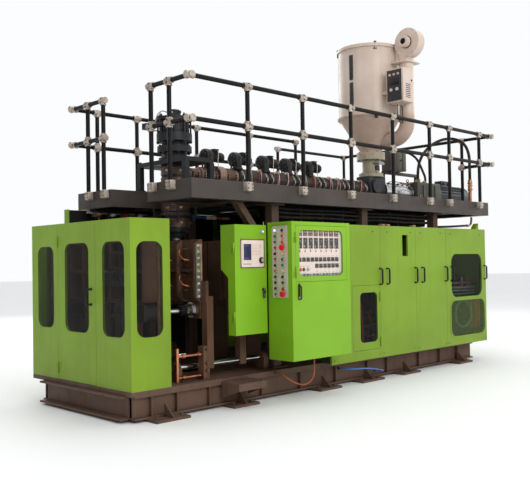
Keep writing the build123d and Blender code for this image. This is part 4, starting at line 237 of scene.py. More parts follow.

# the dark corner colours in these looks are painted shade, mixed into corners and recesses
finishLooks = dict(
    greenPaint=dict(
        base=(126, 160, 34), second=(116, 149, 32), patch=0.9, patchAmount=0.7, edge=(158, 182, 96),
        edgeWidth=0.003,
        edgeAmount=0.4, dust=(104, 104, 44), dustScale=1.7, dustAmount=0.16, dustHeight=(0.28, 0.75),
        dustLow=0.12,
        streak=(100, 126, 34), streakAmount=0.22, rough=(0.36, 0.5), bump=(420, 0.00008), coat=0.04,
        cavity=(70, 84, 26),
        cavityReach=0.02, cavityAmount=0.5),
    brightGreen=dict(
        base=(130, 182, 34), second=(120, 170, 32), patch=0.9, patchAmount=0.7, edge=(166, 204, 104),
        edgeWidth=0.003,
        edgeAmount=0.4, dust=(104, 120, 48), dustScale=2.2, dustAmount=0.12, rough=(0.34, 0.46),
        bump=(420, 0.00008), coat=0.05,
        cavity=(70, 92, 28), cavityReach=0.02, cavityAmount=0.5),
    darkGreen=dict(
        base=(46, 60, 26), second=(38, 48, 24), edge=(100, 108, 72), dust=(72, 68, 50), dustAmount=0.5,
        rough=(0.4, 0.6), cavity=(16, 18, 12)),
    framePaint=dict(
        base=(98, 74, 62), second=(80, 61, 52), patch=2.2, edge=(118, 98, 84), edgeWidth=0.004,
        dust=(104, 82, 66),
        dustScale=4.5, dustAmount=0.5, dustHeight=(0.0, 0.35), dustLow=0.2, streak=(48, 38, 33),
        streakAmount=0.5,
        rough=(0.45, 0.65), bump=(90, 0.0004), cavity=(30, 24, 21)),
    deckPaint=dict(
        base=(71, 64, 60), second=(62, 56, 53), patch=1.1, edge=(112, 106, 100), edgeWidth=0.004,
        dust=(94, 84, 76),
        dustScale=2.6, dustAmount=0.35, streak=(52, 48, 46), streakAmount=0.5, rough=(0.42, 0.58),
        bump=(160, 0.0002), cavity=(28, 26, 25)),
    railBlack=dict(
        base=(13, 11, 12), second=(18, 15, 15), patch=5, edge=(44, 40, 38), dust=(58, 50, 46), dustScale=9,
        dustAmount=0.08,
        rough=(0.42, 0.55), bump=(200, 0.00006), specular=0.2),
    railJoint=dict(
        base=(196, 184, 172), second=(164, 150, 138), patch=14, edge=(222, 216, 208), dust=(104, 88, 76),
        dustScale=16,
        dustAmount=0.6, rough=(0.35, 0.55), metallic=0.3, bump=(120, 0.0005), cavity=(70, 58, 50),
        cavityReach=0.02),
    blackPlastic=dict(
        base=(17, 17, 18), second=(24, 24, 25), patch=12, edge=(60, 60, 60), dust=(84, 80, 76),
        dustScale=22, dustAmount=0.2,
        rough=(0.32, 0.46), bump=(600, 0.00006)),
    brownCasting=dict(
        base=(104, 76, 58), second=(66, 50, 42), patch=3.2, edge=(150, 122, 100), edgeWidth=0.004,
        dust=(116, 80, 54),
        dustScale=6, dustAmount=0.6, streak=(36, 28, 25), streakAmount=0.6, rough=(0.38, 0.62),
        metallic=0.1, bump=(110, 0.0006),
        cavity=(22, 16, 14)),
    chrome=dict(
        base=(214, 214, 216), second=(196, 197, 200), patch=9, rough=(0.08, 0.2), metallic=1.0,
        bump=(500, 0.00002),
        dust=(120, 104, 88), dustScale=14, dustAmount=0.25, cavity=(60, 52, 46)),
    brightSteel=dict(
        base=(178, 176, 174), second=(150, 147, 144), patch=8, rough=(0.22, 0.42), metallic=1.0,
        bump=(260, 0.00008),
        dust=(110, 96, 84), dustScale=11, dustAmount=0.3, cavity=(50, 44, 40)),
    darkSteel=dict(
        base=(62, 62, 64), second=(48, 47, 48), patch=6, edge=(140, 138, 134), rough=(0.35, 0.55),
        metallic=0.6,
        bump=(180, 0.0002), dust=(96, 80, 66), dustScale=8, dustAmount=0.35, cavity=(22, 20, 18)),
    copper=dict(
        base=(214, 142, 104), second=(180, 108, 76), patch=9, rough=(0.22, 0.4), metallic=1.0,
        bump=(220, 0.00008),
        dust=(90, 70, 56), dustScale=12, dustAmount=0.4, cavity=(52, 36, 28)),
    headBlack=dict(
        base=(46, 50, 53), second=(40, 40, 42), patch=5, edge=(112, 110, 106), rough=(0.38, 0.55),
        metallic=0.45,
        bump=(150, 0.0002), dust=(84, 74, 64), dustScale=9, dustAmount=0.22, cavity=(18, 17, 17)),
    tanCover=dict(
        base=(156, 130, 114), second=(126, 104, 90), patch=4, edge=(200, 184, 168), rough=(0.34, 0.5),
        metallic=0.3,
        bump=(140, 0.0003), dust=(90, 70, 56), dustScale=7, dustAmount=0.5, cavity=(40, 32, 27)),
    greyCover=dict(
        base=(72, 62, 58), second=(58, 50, 47), patch=3, edge=(150, 140, 134), rough=(0.36, 0.5),
        metallic=0.4,
        bump=(180, 0.0002), dust=(84, 70, 62), dustScale=5, dustAmount=0.4, cavity=(30, 26, 24)),
    greyGreen=dict(
        base=(78, 78, 66), second=(62, 64, 54), patch=2.5, edge=(140, 140, 130), rough=(0.38, 0.52),
        bump=(140, 0.0003),
        dust=(96, 86, 74), dustScale=5, dustAmount=0.4, cavity=(30, 29, 27)),
    beigeCast=dict(
        base=(182, 172, 148), second=(160, 150, 128), patch=3, edge=(206, 200, 184), rough=(0.34, 0.48),
        bump=(200, 0.0002),
        dust=(120, 104, 84), dustScale=7, dustAmount=0.4, streak=(120, 104, 84), streakAmount=0.4,
        cavity=(78, 66, 52)),
    slateCast=dict(
        base=(56, 58, 62), second=(46, 46, 50), patch=3, edge=(118, 118, 118), rough=(0.36, 0.5),
        bump=(140, 0.0003),
        dust=(88, 78, 70), dustScale=6, dustAmount=0.35, cavity=(20, 20, 21)),
    motorPaint=dict(
        base=(60, 66, 70), second=(50, 54, 58), patch=3, edge=(120, 122, 122), rough=(0.34, 0.5),
        bump=(160, 0.0002),
        dust=(96, 92, 86), dustScale=6, dustAmount=0.4, cavity=(24, 24, 24)),
    blowerBlack=dict(
        base=(26, 27, 29), second=(36, 36, 37), patch=8, edge=(96, 94, 92), rough=(0.26, 0.42),
        bump=(240, 0.00015),
        dust=(98, 90, 82), dustScale=9, dustAmount=0.3, cavity=(12, 12, 12)),
    creamPaint=dict(
        base=(216, 199, 186), second=(204, 186, 171), patch=1.8, edge=(176, 160, 144), edgeWidth=0.003,
        edgeAmount=0.35,
        rough=(0.28, 0.42), bump=(380, 0.00008), dust=(176, 144, 122), dustScale=3.4, dustAmount=0.25,
        dustHeight=(3.46, 3.56),
        dustLow=0.5, streak=(170, 146, 124), streakAmount=0.35, cavity=(132, 108, 90), coat=0.1),
    panelWhite=dict(
        base=(238, 219, 208), second=(228, 208, 197), patch=6, edge=(160, 142, 132), rough=(0.3, 0.42),
        bump=(420, 0.00005),
        dust=(180, 158, 144), dustScale=9, dustAmount=0.15, cavity=(140, 120, 108), cavityReach=0.006),
    panelGrey=dict(
        base=(204, 195, 178), second=(190, 180, 163), patch=7, edge=(222, 214, 202), rough=(0.34, 0.48),
        metallic=0.1,
        bump=(300, 0.00006), dust=(136, 124, 108), dustScale=10, dustAmount=0.2, cavity=(96, 84, 70),
        cavityReach=0.008),
    redPlastic=dict(
        base=(226, 22, 32), second=(204, 18, 28), patch=25, edge=(238, 84, 80), rough=(0.22, 0.34),
        bump=(500, 0.00004),
        dust=(120, 34, 32), dustScale=40, dustAmount=0.15, coat=0.15),
    hoseBlack=dict(
        base=(24, 23, 23), second=(34, 32, 31), patch=12, edge=(80, 76, 72), rough=(0.42, 0.6),
        bump=(700, 0.0002),
        dust=(92, 82, 72), dustScale=18, dustAmount=0.35),
    cableRed=dict(
        base=(176, 92, 54), second=(150, 74, 46), patch=20, rough=(0.34, 0.5), bump=(800, 0.0001),
        dust=(96, 74, 58),
        dustScale=30, dustAmount=0.4),
    hoseBlue=dict(
        base=(58, 118, 188), second=(48, 98, 162), patch=14, rough=(0.25, 0.4), bump=(500, 0.0001),
        dust=(110, 116, 120),
        dustScale=24, dustAmount=0.35, coat=0.2),
    meshSteel=dict(
        base=(92, 110, 62), second=(76, 90, 52), patch=9, edge=(150, 156, 130), rough=(0.4, 0.55),
        metallic=0.1,
        bump=(300, 0.0001), dust=(86, 78, 60), dustScale=14, dustAmount=0.3),
    deckFloor=dict(
        base=(84, 80, 77), second=(68, 65, 63), patch=2, edge=(140, 134, 128), rough=(0.38, 0.55),
        metallic=0.4,
        bump=(60, 0.0006), dust=(104, 90, 78), dustScale=3, dustAmount=0.45, tread=0.034),
)
finishes = {name: surface(name, look) for name, look in finishLooks.items()}
print("finishes are made:", len(finishes))


def addFinish(name, **look):  # a finish that only the pieces below use
    finishes[name] = surface(name, look)

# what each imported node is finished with
nodeFinish = dict(
    base_frame="framePaint", bed_plate="framePaint", deck_columns="framePaint", deck_frame="deckPaint",
    barrel_stands="deckPaint",
    deck_plate="deckFloor", rail_joints="railJoint", rail_pipes="railBlack", guard_panels="greenPaint",
    guard_door="greenPaint",
    side_covers="greenPaint", access_door="greenPaint", cabinet_shell="brightGreen",
    cabinet_door="brightGreen",
    control_box="brightGreen", control_box_door="brightGreen", guard_door_handle="blackPlastic",
    cover_handles="blackPlastic",
    control_knob="blackPlastic", control_lock="darkSteel", motor_fan="blackPlastic",
    left_platen="brownCasting",
    right_platen="brownCasting", clamp_castings="brownCasting", left_rods="chrome", guide_bars="chrome",
    drive_coupling="chrome",
    clamp_cylinders="darkSteel", hinge_halves="greenPaint", manifold_strip="brightSteel",
    die_pin="brightSteel",
    screw="brightSteel", slide_gate="brightSteel", water_pipes="copper", head_bridge="headBlack",
    die_head="headBlack",
    head_drum="headBlack", adapter_cover="tanCover", barrel_cover="greyCover", feed_casting="slateCast",
    feed_collar="beigeCast",
    gearbox="greyGreen", motor="motorPaint", blowers="blowerBlack", dryer_hopper="creamPaint",
    dryer_lid="creamPaint",
    dryer_blower="creamPaint", dryer_box="creamPaint", cover_frame="darkGreen", power_unit="darkGreen",
    mesh_grille="meshSteel",
    instrument_panel="panelWhite", control_panel="panelWhite", button_panel="panelGrey",
    estop_upper="redPlastic",
    estop_lower="redPlastic", hose_arch="hoseBlack", dryer_cable="hoseBlack", cabinet_cable="cableRed",
    floor_hose="hoseBlue",
)
for name, finish in nodeFinish.items():
    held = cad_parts[name]
    held.data.materials.clear()
    held.data.materials.append(finishes[finish])
print("packed nodes are finished:", len(nodeFinish))

# the four free cords, on the same routes as their solids
cords = dict(
    hoseArch=dict(
        node="hose_arch", finish="hoseBlack", diameter=0.045, length=1.729, stiffness="stiff",
        route=[
            (4.6, -0.15, 2.7), (4.6, -0.15, 2.89), (4.66, -0.2, 3.085), (4.78, -0.29, 3.24),
            (4.915, -0.42, 3.325), (5.005, -0.585, 3.315), (5.04, -0.725, 3.215), (5.045, -0.788, 3.045),
            (5.045, -0.79, 2.86), (5.045, -0.79, 2.66)]),
    dryerCable=dict(
        node="dryer_cable", finish="hoseBlack", diameter=0.012, length=0.574, stiffness="medium",
        route=[
            (3.395, -0.657, 3.616), (3.395, -0.657, 3.545), (3.392, -0.661, 3.47), (3.4, -0.667, 3.405),
            (3.428, -0.672, 3.36), (3.48, -0.67, 3.358), (3.507, -0.664, 3.402), (3.513, -0.659, 3.468),
            (3.51, -0.657, 3.545), (3.51, -0.657, 3.616)]),
    cabinetCable=dict(
        node="cabinet_cable", finish="cableRed", diameter=0.016, length=0.709, stiffness="medium",
        route=[
            (0.83, -1.33, 0.413), (0.83, -1.33, 0.312), (0.822, -1.328, 0.217), (0.765, -1.318, 0.15),
            (0.68, -1.3, 0.132), (0.6, -1.265, 0.158), (0.53, -1.205, 0.215), (0.5, -1.155, 0.266),
            (0.5, -1.083, 0.266)]),
    floorHose=dict(
        node="floor_hose", finish="hoseBlue", diameter=0.016, length=0.925, stiffness="medium",
        route=[
            (1.58, -1.066, 0.19), (1.58, -1.16, 0.19), (1.66, -1.23, 0.189), (1.79, -1.236, 0.182),
            (1.93, -1.224, 0.166), (2.06, -1.228, 0.143), (2.182, -1.232, 0.118), (2.275, -1.165, 0.096),
            (2.275, -1.066, 0.096)]),
)


def layCord(name, look):
    curve = bpy.data.curves.new(name, "CURVE")
    curve.dimensions = "3D"
    curve.bevel_depth = look["diameter"] / 2
    curve.bevel_resolution = 4
    curve.resolution_u = 12
    line = curve.splines.new("NURBS")
    line.points.add(len(look["route"]) - 1)
    for point, at in zip(line.points, look["route"]):
        point.co = (*at, 1)
    line.order_u = 3
    line.use_endpoint_u = True
    curve.materials.append(finishes[look["finish"]])
    cord = bpy.data.objects.new(name, curve)
    bpy.context.scene.collection.objects.link(cord)
    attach(cord, "machine")
    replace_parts(cord, look["node"])


for name, look in cords.items():
    layCord(name, look)
print("cords are laid:", len(cords))

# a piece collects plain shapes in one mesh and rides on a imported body
class Piece:
    def __init__(self, name, body="machine", slotName=None):
        self.name, self.body, self.slotName = name, body, slotName
        self.form = bmesh.new()
        self.finishNames = []

    def keep(self, made, finish):
        if finish not in self.finishNames:
            self.finishNames.append(finish)
        bmesh.ops.recalc_face_normals(made, faces=made.faces)
        for face in made.faces:
            face.material_index = self.finishNames.index(finish)
            face.smooth = True
        mesh = bpy.data.meshes.new("part")
        made.to_mesh(mesh)
        made.free()
        self.form.from_mesh(mesh)
        bpy.data.meshes.remove(mesh)

    def box(self, low, high, finish, soft=0.0, turn=None):
        made = bmesh.new()
        size = [b - a for a, b in zip(low, high)]
        bmesh.ops.create_cube(made, size=1, matrix=Matrix.Diagonal((*size, 1)))
        if soft:
            bmesh.ops.bevel(
                made, geom=made.edges[:], offset=min(soft, min(size) * 0.45), segments=2, profile=0.5,
                affect="EDGES")
        middle = Matrix.Translation([(a + b) / 2 for a, b in zip(low, high)])
        bmesh.ops.transform(made, matrix=middle @ turn if turn else middle, verts=made.verts)
        self.keep(made, finish)

    def lathe(self, start, way, profile, finish, sides=24, spin=0.0):  # profile: (height, radius) along way
        made = bmesh.new()
        place = Matrix.Translation(start) @ Vector(way).to_track_quat("Z", "Y").to_matrix().to_4x4()
        rings = []
        for height, radius in profile:
            if radius < 1e-6:
                rings.append([made.verts.new(place @ Vector((0, 0, height)))])
                continue
            rings.append([
                made.verts.new(place @ Vector((radius * cos(a), radius * sin(a), height)))
                for a in (2 * pi * i / sides + spin for i in range(sides))])
        for first, second in zip(rings, rings[1:]):
            for i in range(sides):
                j = (i + 1) % sides
                if len(first) == 1 and len(second) > 1:
                    made.faces.new((first[0], second[i], second[j]))
                elif len(second) == 1 and len(first) > 1:
                    made.faces.new((first[i], first[j], second[0]))
                elif len(first) > 1:
                    made.faces.new((first[i], first[j], second[j], second[i]))
        for ring in (rings[0], rings[-1]):
            if len(ring) > 1:
                made.faces.new(ring)
        self.keep(made, finish)

    def rod(self, start, end, radius, finish, sides=20, soft=0.0):
        way = Vector(end) - Vector(start)
        length = way.length
        profile = [(0, radius), (length, radius)]
        if soft:
            profile = [(0, radius - soft), (soft, radius), (length - soft, radius), (length, radius - soft)]
        self.lathe(start, way, profile, finish, sides)

    def hexagon(self, at, way, radius, height, finish, washer=True):
        if washer:
            self.lathe(at, way, [(0, radius * 1.35), (height * 0.18, radius * 1.35)], finish, 16)
        self.lathe(at, way, [(0, radius), (height * 0.85, radius), (height, radius * 0.82)], finish, 6)

    def screw(self, at, way, radius, finish):  # low domed head with a dimple
        self.lathe(
            at, way,
            [
                (0, radius), (radius * 0.3, radius * 0.92), (radius * 0.45, radius * 0.6),
                (radius * 0.3, radius * 0.4), (radius * 0.3, 0)
            ], finish, 12)

    def tube(self, points, radius, finish, sides=8, closed=False, smooth=4):
        knots = [Vector(p) for p in points]
        path = []
        count = len(knots)
        spans = count if closed else count - 1
        for k in range(spans):
            if closed:
                a, b, c, d = (knots[(k + n) % count] for n in (-1, 0, 1, 2))
            else:
                a, b, c, d = (knots[min(max(k + n, 0), count - 1)] for n in (-1, 0, 1, 2))
            for step in range(smooth):
                t = step / smooth
                path.append(
                    0.5 * (
                        2 * b + (c - a) * t + (
                            2 * a - 5 * b + 4 * c - d
                        ) * t * t + (3 * b - a - 3 * c + d) * t ** 3))
        if not closed:
            path.append(knots[-1])
        made = bmesh.new()
        rings = []
        side = None
        for i, at in enumerate(path):
            before = path[i - 1] if i or closed else at
            after = path[(i + 1) % len(path)] if i + 1 < len(path) or closed else at
            way = (after - before).normalized()
            if side is None:
                side = way.orthogonal().normalized()
            side = (side - way * side.dot(way)).normalized()
            across = way.cross(side)
            rings.append([
                made.verts.new(
                    at + (side * cos(2 * pi * n / sides) + across * sin(2 * pi * n / sides)) * radius)
                for n in range(sides)])
        pairs = list(zip(rings, rings[1:]))
        if closed:
            pairs.append((rings[-1], rings[0]))
        for first, second in pairs:
            for i in range(sides):
                j = (i + 1) % sides
                made.faces.new((first[i], first[j], second[j], second[i]))
        if not closed:
            made.faces.new(rings[0])
            made.faces.new(rings[-1])
        self.keep(made, finish)

    def prism(self, outline, depth, finish):  # flat outline in 3-D, pushed along depth
        made = bmesh.new()
        face = made.faces.new([made.verts.new(p) for p in outline])
        moved = bmesh.ops.extrude_face_region(made, geom=[face])
        bmesh.ops.translate(
            made, vec=depth, verts=[v for v in moved["geom"] if isinstance(v, bmesh.types.BMVert)])
        self.keep(made, finish)

    def done(self):
        mesh = bpy.data.meshes.new(self.name)
        self.form.to_mesh(mesh)
        self.form.free()
        for finish in self.finishNames:
            mesh.materials.append(finishes[finish])
        mesh.set_sharp_from_angle(angle=radians(38))
        piece = bpy.data.objects.new(self.name, mesh)
        bpy.context.scene.collection.objects.link(piece)
        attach(piece, self.body)
        return piece


left, right, front, rear, upward, downward = (
    -1, 0, 0
), (1, 0, 0), (0, -1, 0), (0, 1, 0), (0, 0, 1), (0, 0, -1)


def roundedOutline(low, high, radius, steps=6):  # corner points of a rounded rectangle in two coordinates
    corners = ((high[0] - radius, high[1] - radius, 0), (low[0] + radius, high[1] - radius, 90),
               (low[0] + radius, low[1] + radius, 180), (high[0] - radius, low[1] + radius, 270))
    return [
        (x + radius * cos(radians(a + 90 * n / steps)), y + radius * sin(radians(a + 90 * n / steps)))
        for x, y, a in corners for n in range(steps + 1)]


# guard rails: rims and set screws on the clamp fittings, bolts in the feet
rails = dict(
    front=[0.119, 0.964, 1.815, 2.658, 3.495, 3.981, 4.795], back=[-0.325, 0.25, 1.22, 2.2, 3.17],
    frontY=-1.096, backY=1.096, leftX=-0.648, rightX=5.12, wingY=1.756, wingX=3.45,
    left=[-0.765, -0.454, 0.449, 0.775], top=3.292, middle=2.869, half=0.052, rimRadius=0.0355,
    rimWidth=0.012, feet=2.292,
)


def dressRails(look):
    stations = {}

    def run(line, z):
        for start, end in zip(line, line[1:]):
            way = "x" if abs(end[0] - start[0]) > abs(end[1] - start[1]) else "y"
            for x, y in (start, end):
                stations.setdefault((x, y, z), set()).add(way)

    leftX, rightX, frontY, backY, wingY = look["leftX"], look[
        "rightX"
    ], look["frontY"], look["backY"], look["wingY"]
    posts = [
        (x, frontY) for x in look["front"]
    ] + [(x, backY) for x in look["back"]] + [(leftX, y) for y in look["left"]]
    posts += [(rightX, -0.615), (look["wingX"], wingY), (rightX, wingY)]
    for z in (look["top"], look["middle"]):
        run(
            [
                (leftX, look["left"][1]), (leftX, look["left"][0]), (leftX, frontY)
            ] + [(x, frontY) for x in look["front"]] + [(rightX, frontY)], z)
        run(
            [
                (leftX, look["left"][2]), (leftX, look["left"][3]), (leftX, backY)
            ] + [(x, backY) for x in look["back"]], z)
        for x, y in posts:
            stations.setdefault((x, y, z), set()).add("z")
    run([(rightX, frontY), (rightX, -0.615), (rightX, wingY), (look["wingX"], wingY)], look["top"])
    run([(rightX, frontY), (rightX, -0.615)], look["middle"])
    run([(rightX, wingY), (look["wingX"], wingY)], look["middle"])
    piece = Piece("railFittingRims", slotName="rail_joint")
    half, rim, width = look["half"], look["rimRadius"], look["rimWidth"]
    for (x, y, z), ways in stations.items():
        at = Vector((x, y, z))
        for name, way in (("x", Vector(right)), ("y", Vector(rear)), ("z", Vector(upward))):
            if name not in ways:
                continue
            for sign in (-1, 1):
                if name == "z" and sign > 0 and z == look["top"]:
                    continue
                piece.lathe(
                    at + way * sign * (half - width - 0.0005), way * sign,
                    [(0, rim - 0.003), (0.002, rim), (width - 0.002, rim), (width, rim - 0.003)],
                    "railJoint", 18)
        outward = Vector((0, -1 if y < 0 else 1, 0)) if abs(y) > 1 else Vector((-1 if x < 0 else 1, 0, 0))
        for along in (-0.024, 0.024):
            shift = Vector((0, 0, along)) if "z" in ways else Vector((along, 0, 0))
            piece.lathe(
                at + outward * 0.03 + shift, outward,
                [(0, 0.0075), (0.006, 0.0075), (0.007, 0.006), (0.003, 0.0045), (0.003, 0)], "darkSteel", 10
            )
    piece.done()
    feet = Piece("railFootBlocks", slotName="rail_joint")
    for x, y in posts:
        outward = Vector(
            (0, -1 if y < 0 else 1, 0)
        ) if abs(y) > 1 and (abs(x) < 5.1 or y > 1.7) and x != leftX else Vector((-1 if x < 0 else 1, 0, 0))
        across = Vector((outward.y, -outward.x, 0))
        wall = Vector((x, y, 0)) - outward * 0.033
        block = [
            wall - across * 0.043 + Vector((0, 0, look["feet"] - 0.09)),
            wall + across * 0.043 + outward * 0.064 + Vector((0, 0, look["feet"] - 0.002))]
        feet.box([min(p) for p in zip(*block)], [max(p) for p in zip(*block)], "railJoint", 0.007)
        for side in (-1, 1):
            for z in (look["feet"] - 0.024, look["feet"] - 0.068):
                feet.lathe(
                    wall + across * side * 0.027 + outward * 0.0635 + Vector((0, 0, z)), outward,
                    [(0, 0.0085), (0.0018, 0.0085), (0.0024, 0.007), (0.0012, 0.005), (0.0012, 0)],
                    "darkSteel", 12)
    feet.done()


dressRails(rails)
print("rails are dressed")

# instrument panel behind the cabinet door's window, in metres on the plate's face
instruments = dict(
    face=-1.491, low=(0.424, 1.293), high=(1.122, 1.781), counters=(0.461, 0.0827, 1.747),
    controllers=1.643, tags=1.561,
    uppers=(0.4517, 0.0656, 10, 1.471), lowers=(0.717, 0.0656, 6, 1.404),
    knobs=[(0.4635, "redPlastic"), (0.5134, "blackPlastic"), (0.5765, "greyStrip")],
    strip=(1.299, 1.327),
)
addFinish(
    "meterFace", base=(186, 152, 142), second=(140, 92, 86), patch=34, patchAmount=0.9, rough=(0.3, 0.4),
    bump=(300, 0.00004), grain=210, grainColour=(84, 46, 44), grainAmount=0.6)
addFinish(
    "darkLens", base=(52, 46, 42), second=(36, 32, 30), patch=22, rough=(0.12, 0.2), bump=(200, 0.00002),
    coat=0.25)
addFinish("tagRed", base=(128, 44, 46), second=(104, 36, 38), patch=60, rough=(0.4, 0.5))
addFinish(
    "greyStrip", base=(166, 166, 160), second=(146, 148, 142), patch=14, edge=(200, 200, 196),
    rough=(0.35, 0.5))


def dressInstruments(look):
    y = look["face"]
    (x0, z0), (x1, z1) = look["low"], look["high"]
    piece = Piece("instruments", body="cabinet_door_body", slotName="panel_white")
    piece.box((x0, y, z0), (x1, y + 0.005, z1), "panelWhite", 0.001)
    start, pitch, z = look["counters"]
    for n in range(8):
        x = start + n * pitch
        piece.box(
            (x - 0.033, y - 0.004, z - 0.03), (x + 0.033, y + 0.001, z + 0.028), "blackPlastic", 0.002)
        piece.box((x - 0.027, y - 0.0055, z - 0.001), (x + 0.027, y - 0.003, z + 0.023), "meterFace", 0.001)
        for k in range(3):
            piece.box(
                (x - 0.024 + k * 0.017, y - 0.0055, z - 0.025),
                (x - 0.011 + k * 0.017, y - 0.003, z - 0.011), "meterFace", 0.001)
        z2 = look["controllers"]  # tall bezel, lens, dial and tag
        piece.box(
            (x - 0.031, y - 0.006, z2 - 0.0565), (x + 0.031, y + 0.001, z2 + 0.0565), "blackPlastic", 0.003)
        piece.box(
            (x - 0.024, y - 0.0072, z2 - 0.012), (x + 0.024, y - 0.005, z2 + 0.048), "darkLens", 0.002)
        piece.box((x - 0.019, y - 0.0076, z2 + 0.026), (x + 0.01, y - 0.0068, z2 + 0.03), "meterFace")
        piece.lathe(
            (x + 0.008, y - 0.005, z2 - 0.034), front,
            [(0, 0.013), (0.004, 0.013), (0.006, 0.0105), (0.0075, 0.0095), (0.0075, 0)], "darkSteel", 20)
        piece.box((x + 0.0068, y - 0.0136, z2 - 0.041), (x + 0.0092, y - 0.012, z2 - 0.026), "panelWhite")
        piece.box(
            (x - 0.024, y - 0.0068, z2 - 0.046), (x - 0.011, y - 0.0055, z2 - 0.024), "greyStrip", 0.0005)
        piece.box(
            (x - 0.01, y - 0.0012, look["tags"] - 0.013), (x + 0.004, y + 0.0005, look["tags"] + 0.013),
            "tagRed", 0.0005)
    for start, pitch, count, z in (look["uppers"], look["lowers"]):  # two split rockers in one frame
        for n in range(count):
            x = start + n * pitch
            piece.box(
                (x - 0.0265, y - 0.004, z - 0.0225), (x + 0.0265, y + 0.001, z + 0.0225), "blackPlastic",
                0.002)
            for a in (-0.0128, 0.0128):
                piece.prism(
                    [
                        (x + a - 0.0105, y - 0.0035, z - 0.018), (x + a - 0.0105, y - 0.0035, z + 0.018),
                        (x + a - 0.0105, y - 0.0065, z + 0.001), (x + a - 0.0105, y - 0.0095, z - 0.016)
                    ], (0.021, 0, 0), "blackPlastic")
                piece.box(
                    (x + a - 0.0025, y - 0.0075, z + 0.006), (x + a + 0.0025, y - 0.004, z + 0.0075),
                    "panelWhite")
            piece.lathe(
                (x, y + 0.0005, z - 0.031 if count < 10 else z + 0.037), front,
                [(0, 0.0035), (0.002, 0.0035), (0.003, 0)], "blackPlastic", 10)
            if count < 10:
                piece.lathe(
                    (x, y + 0.0005, z - 0.062), front, [(0, 0.0045), (0.003, 0.0045), (0.004, 0)],
                    "tagRed" if n % 2 else "darkSteel", 10)
    for x, finish in look["knobs"]:  # turn knobs low on the left
        piece.lathe(
            (x, y, 1.367), front,
            [(0, 0.019), (0.002, 0.019), (0.003, 0.0155), (0.014, 0.014), (0.0155, 0.012), (0.0155, 0)],
            finish, 24)
        piece.box((x - 0.0015, y - 0.017, 1.358), (x + 0.0015, y - 0.0145, 1.381), "panelWhite")
        piece.box((x - 0.016, y - 0.001, 1.396), (x + 0.016, y + 0.0005, 1.404), "greyStrip")
    piece.box(
        (x0 + 0.003, y - 0.0015, look["strip"][0]), (x1 - 0.003, y + 0.001, look["strip"][1]), "greyStrip",
        0.0005)
    for n in range(13):
        x = x0 + 0.03 + n * 0.051
        piece.box(
            (x, y - 0.0035, look["strip"][0] + 0.006),
            (x + (0.03 if n % 3 else 0.012), y - 0.001, look["strip"][1] - 0.006), "blackPlastic", 0.001)
    for x in (x0 + 0.01, x1 - 0.01):
        for z in (z0 + 0.045, z1 - 0.008):
            piece.screw((x, y, z), front, 0.0035, "brightSteel")
    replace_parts(piece.done(), "instrument_panel")


dressInstruments(instruments)
print("instruments are fitted")

# push buttons on the side of the cabinet, row by row from the top
addFinish("buttonGreen", base=(22, 104, 74), second=(16, 84, 60), patch=40, rough=(0.2, 0.3), coat=0.3)
addFinish("buttonDeepGreen", base=(58, 92, 70), second=(48, 76, 58), patch=40, rough=(0.2, 0.3), coat=0.3)
addFinish("buttonAmber", base=(226, 172, 92), second=(210, 150, 74), patch=40, rough=(0.2, 0.3), coat=0.3)
addFinish("buttonYellow", base=(222, 196, 112), second=(204, 178, 96), patch=40, rough=(0.2, 0.3), coat=0.3)
addFinish("buttonOrange", base=(204, 74, 44), second=(186, 60, 36), patch=40, rough=(0.2, 0.3), coat=0.3)
addFinish(
    "lampWhite", base=(236, 234, 246), second=(220, 220, 240), patch=30, rough=(0.12, 0.2),
    glow=(210, 210, 255), glowStrength=0.9)
buttons = dict(
    face=0.31, top=1.778, pitch=0.06, columns=(-1.29, -1.395), height=0.014,
    near=[
        "lamp", "buttonGreen", "buttonGreen", "keyRed", "key", "keyRed", "key", "buttonOrange", "key",
        "key", "key", "plug"],
    far=[
        "key", "redPlastic", "redPlastic", None, "buttonAmber", "buttonDeepGreen", "buttonDeepGreen",
        "buttonYellow", "key", "key", "keyRed", None],
)


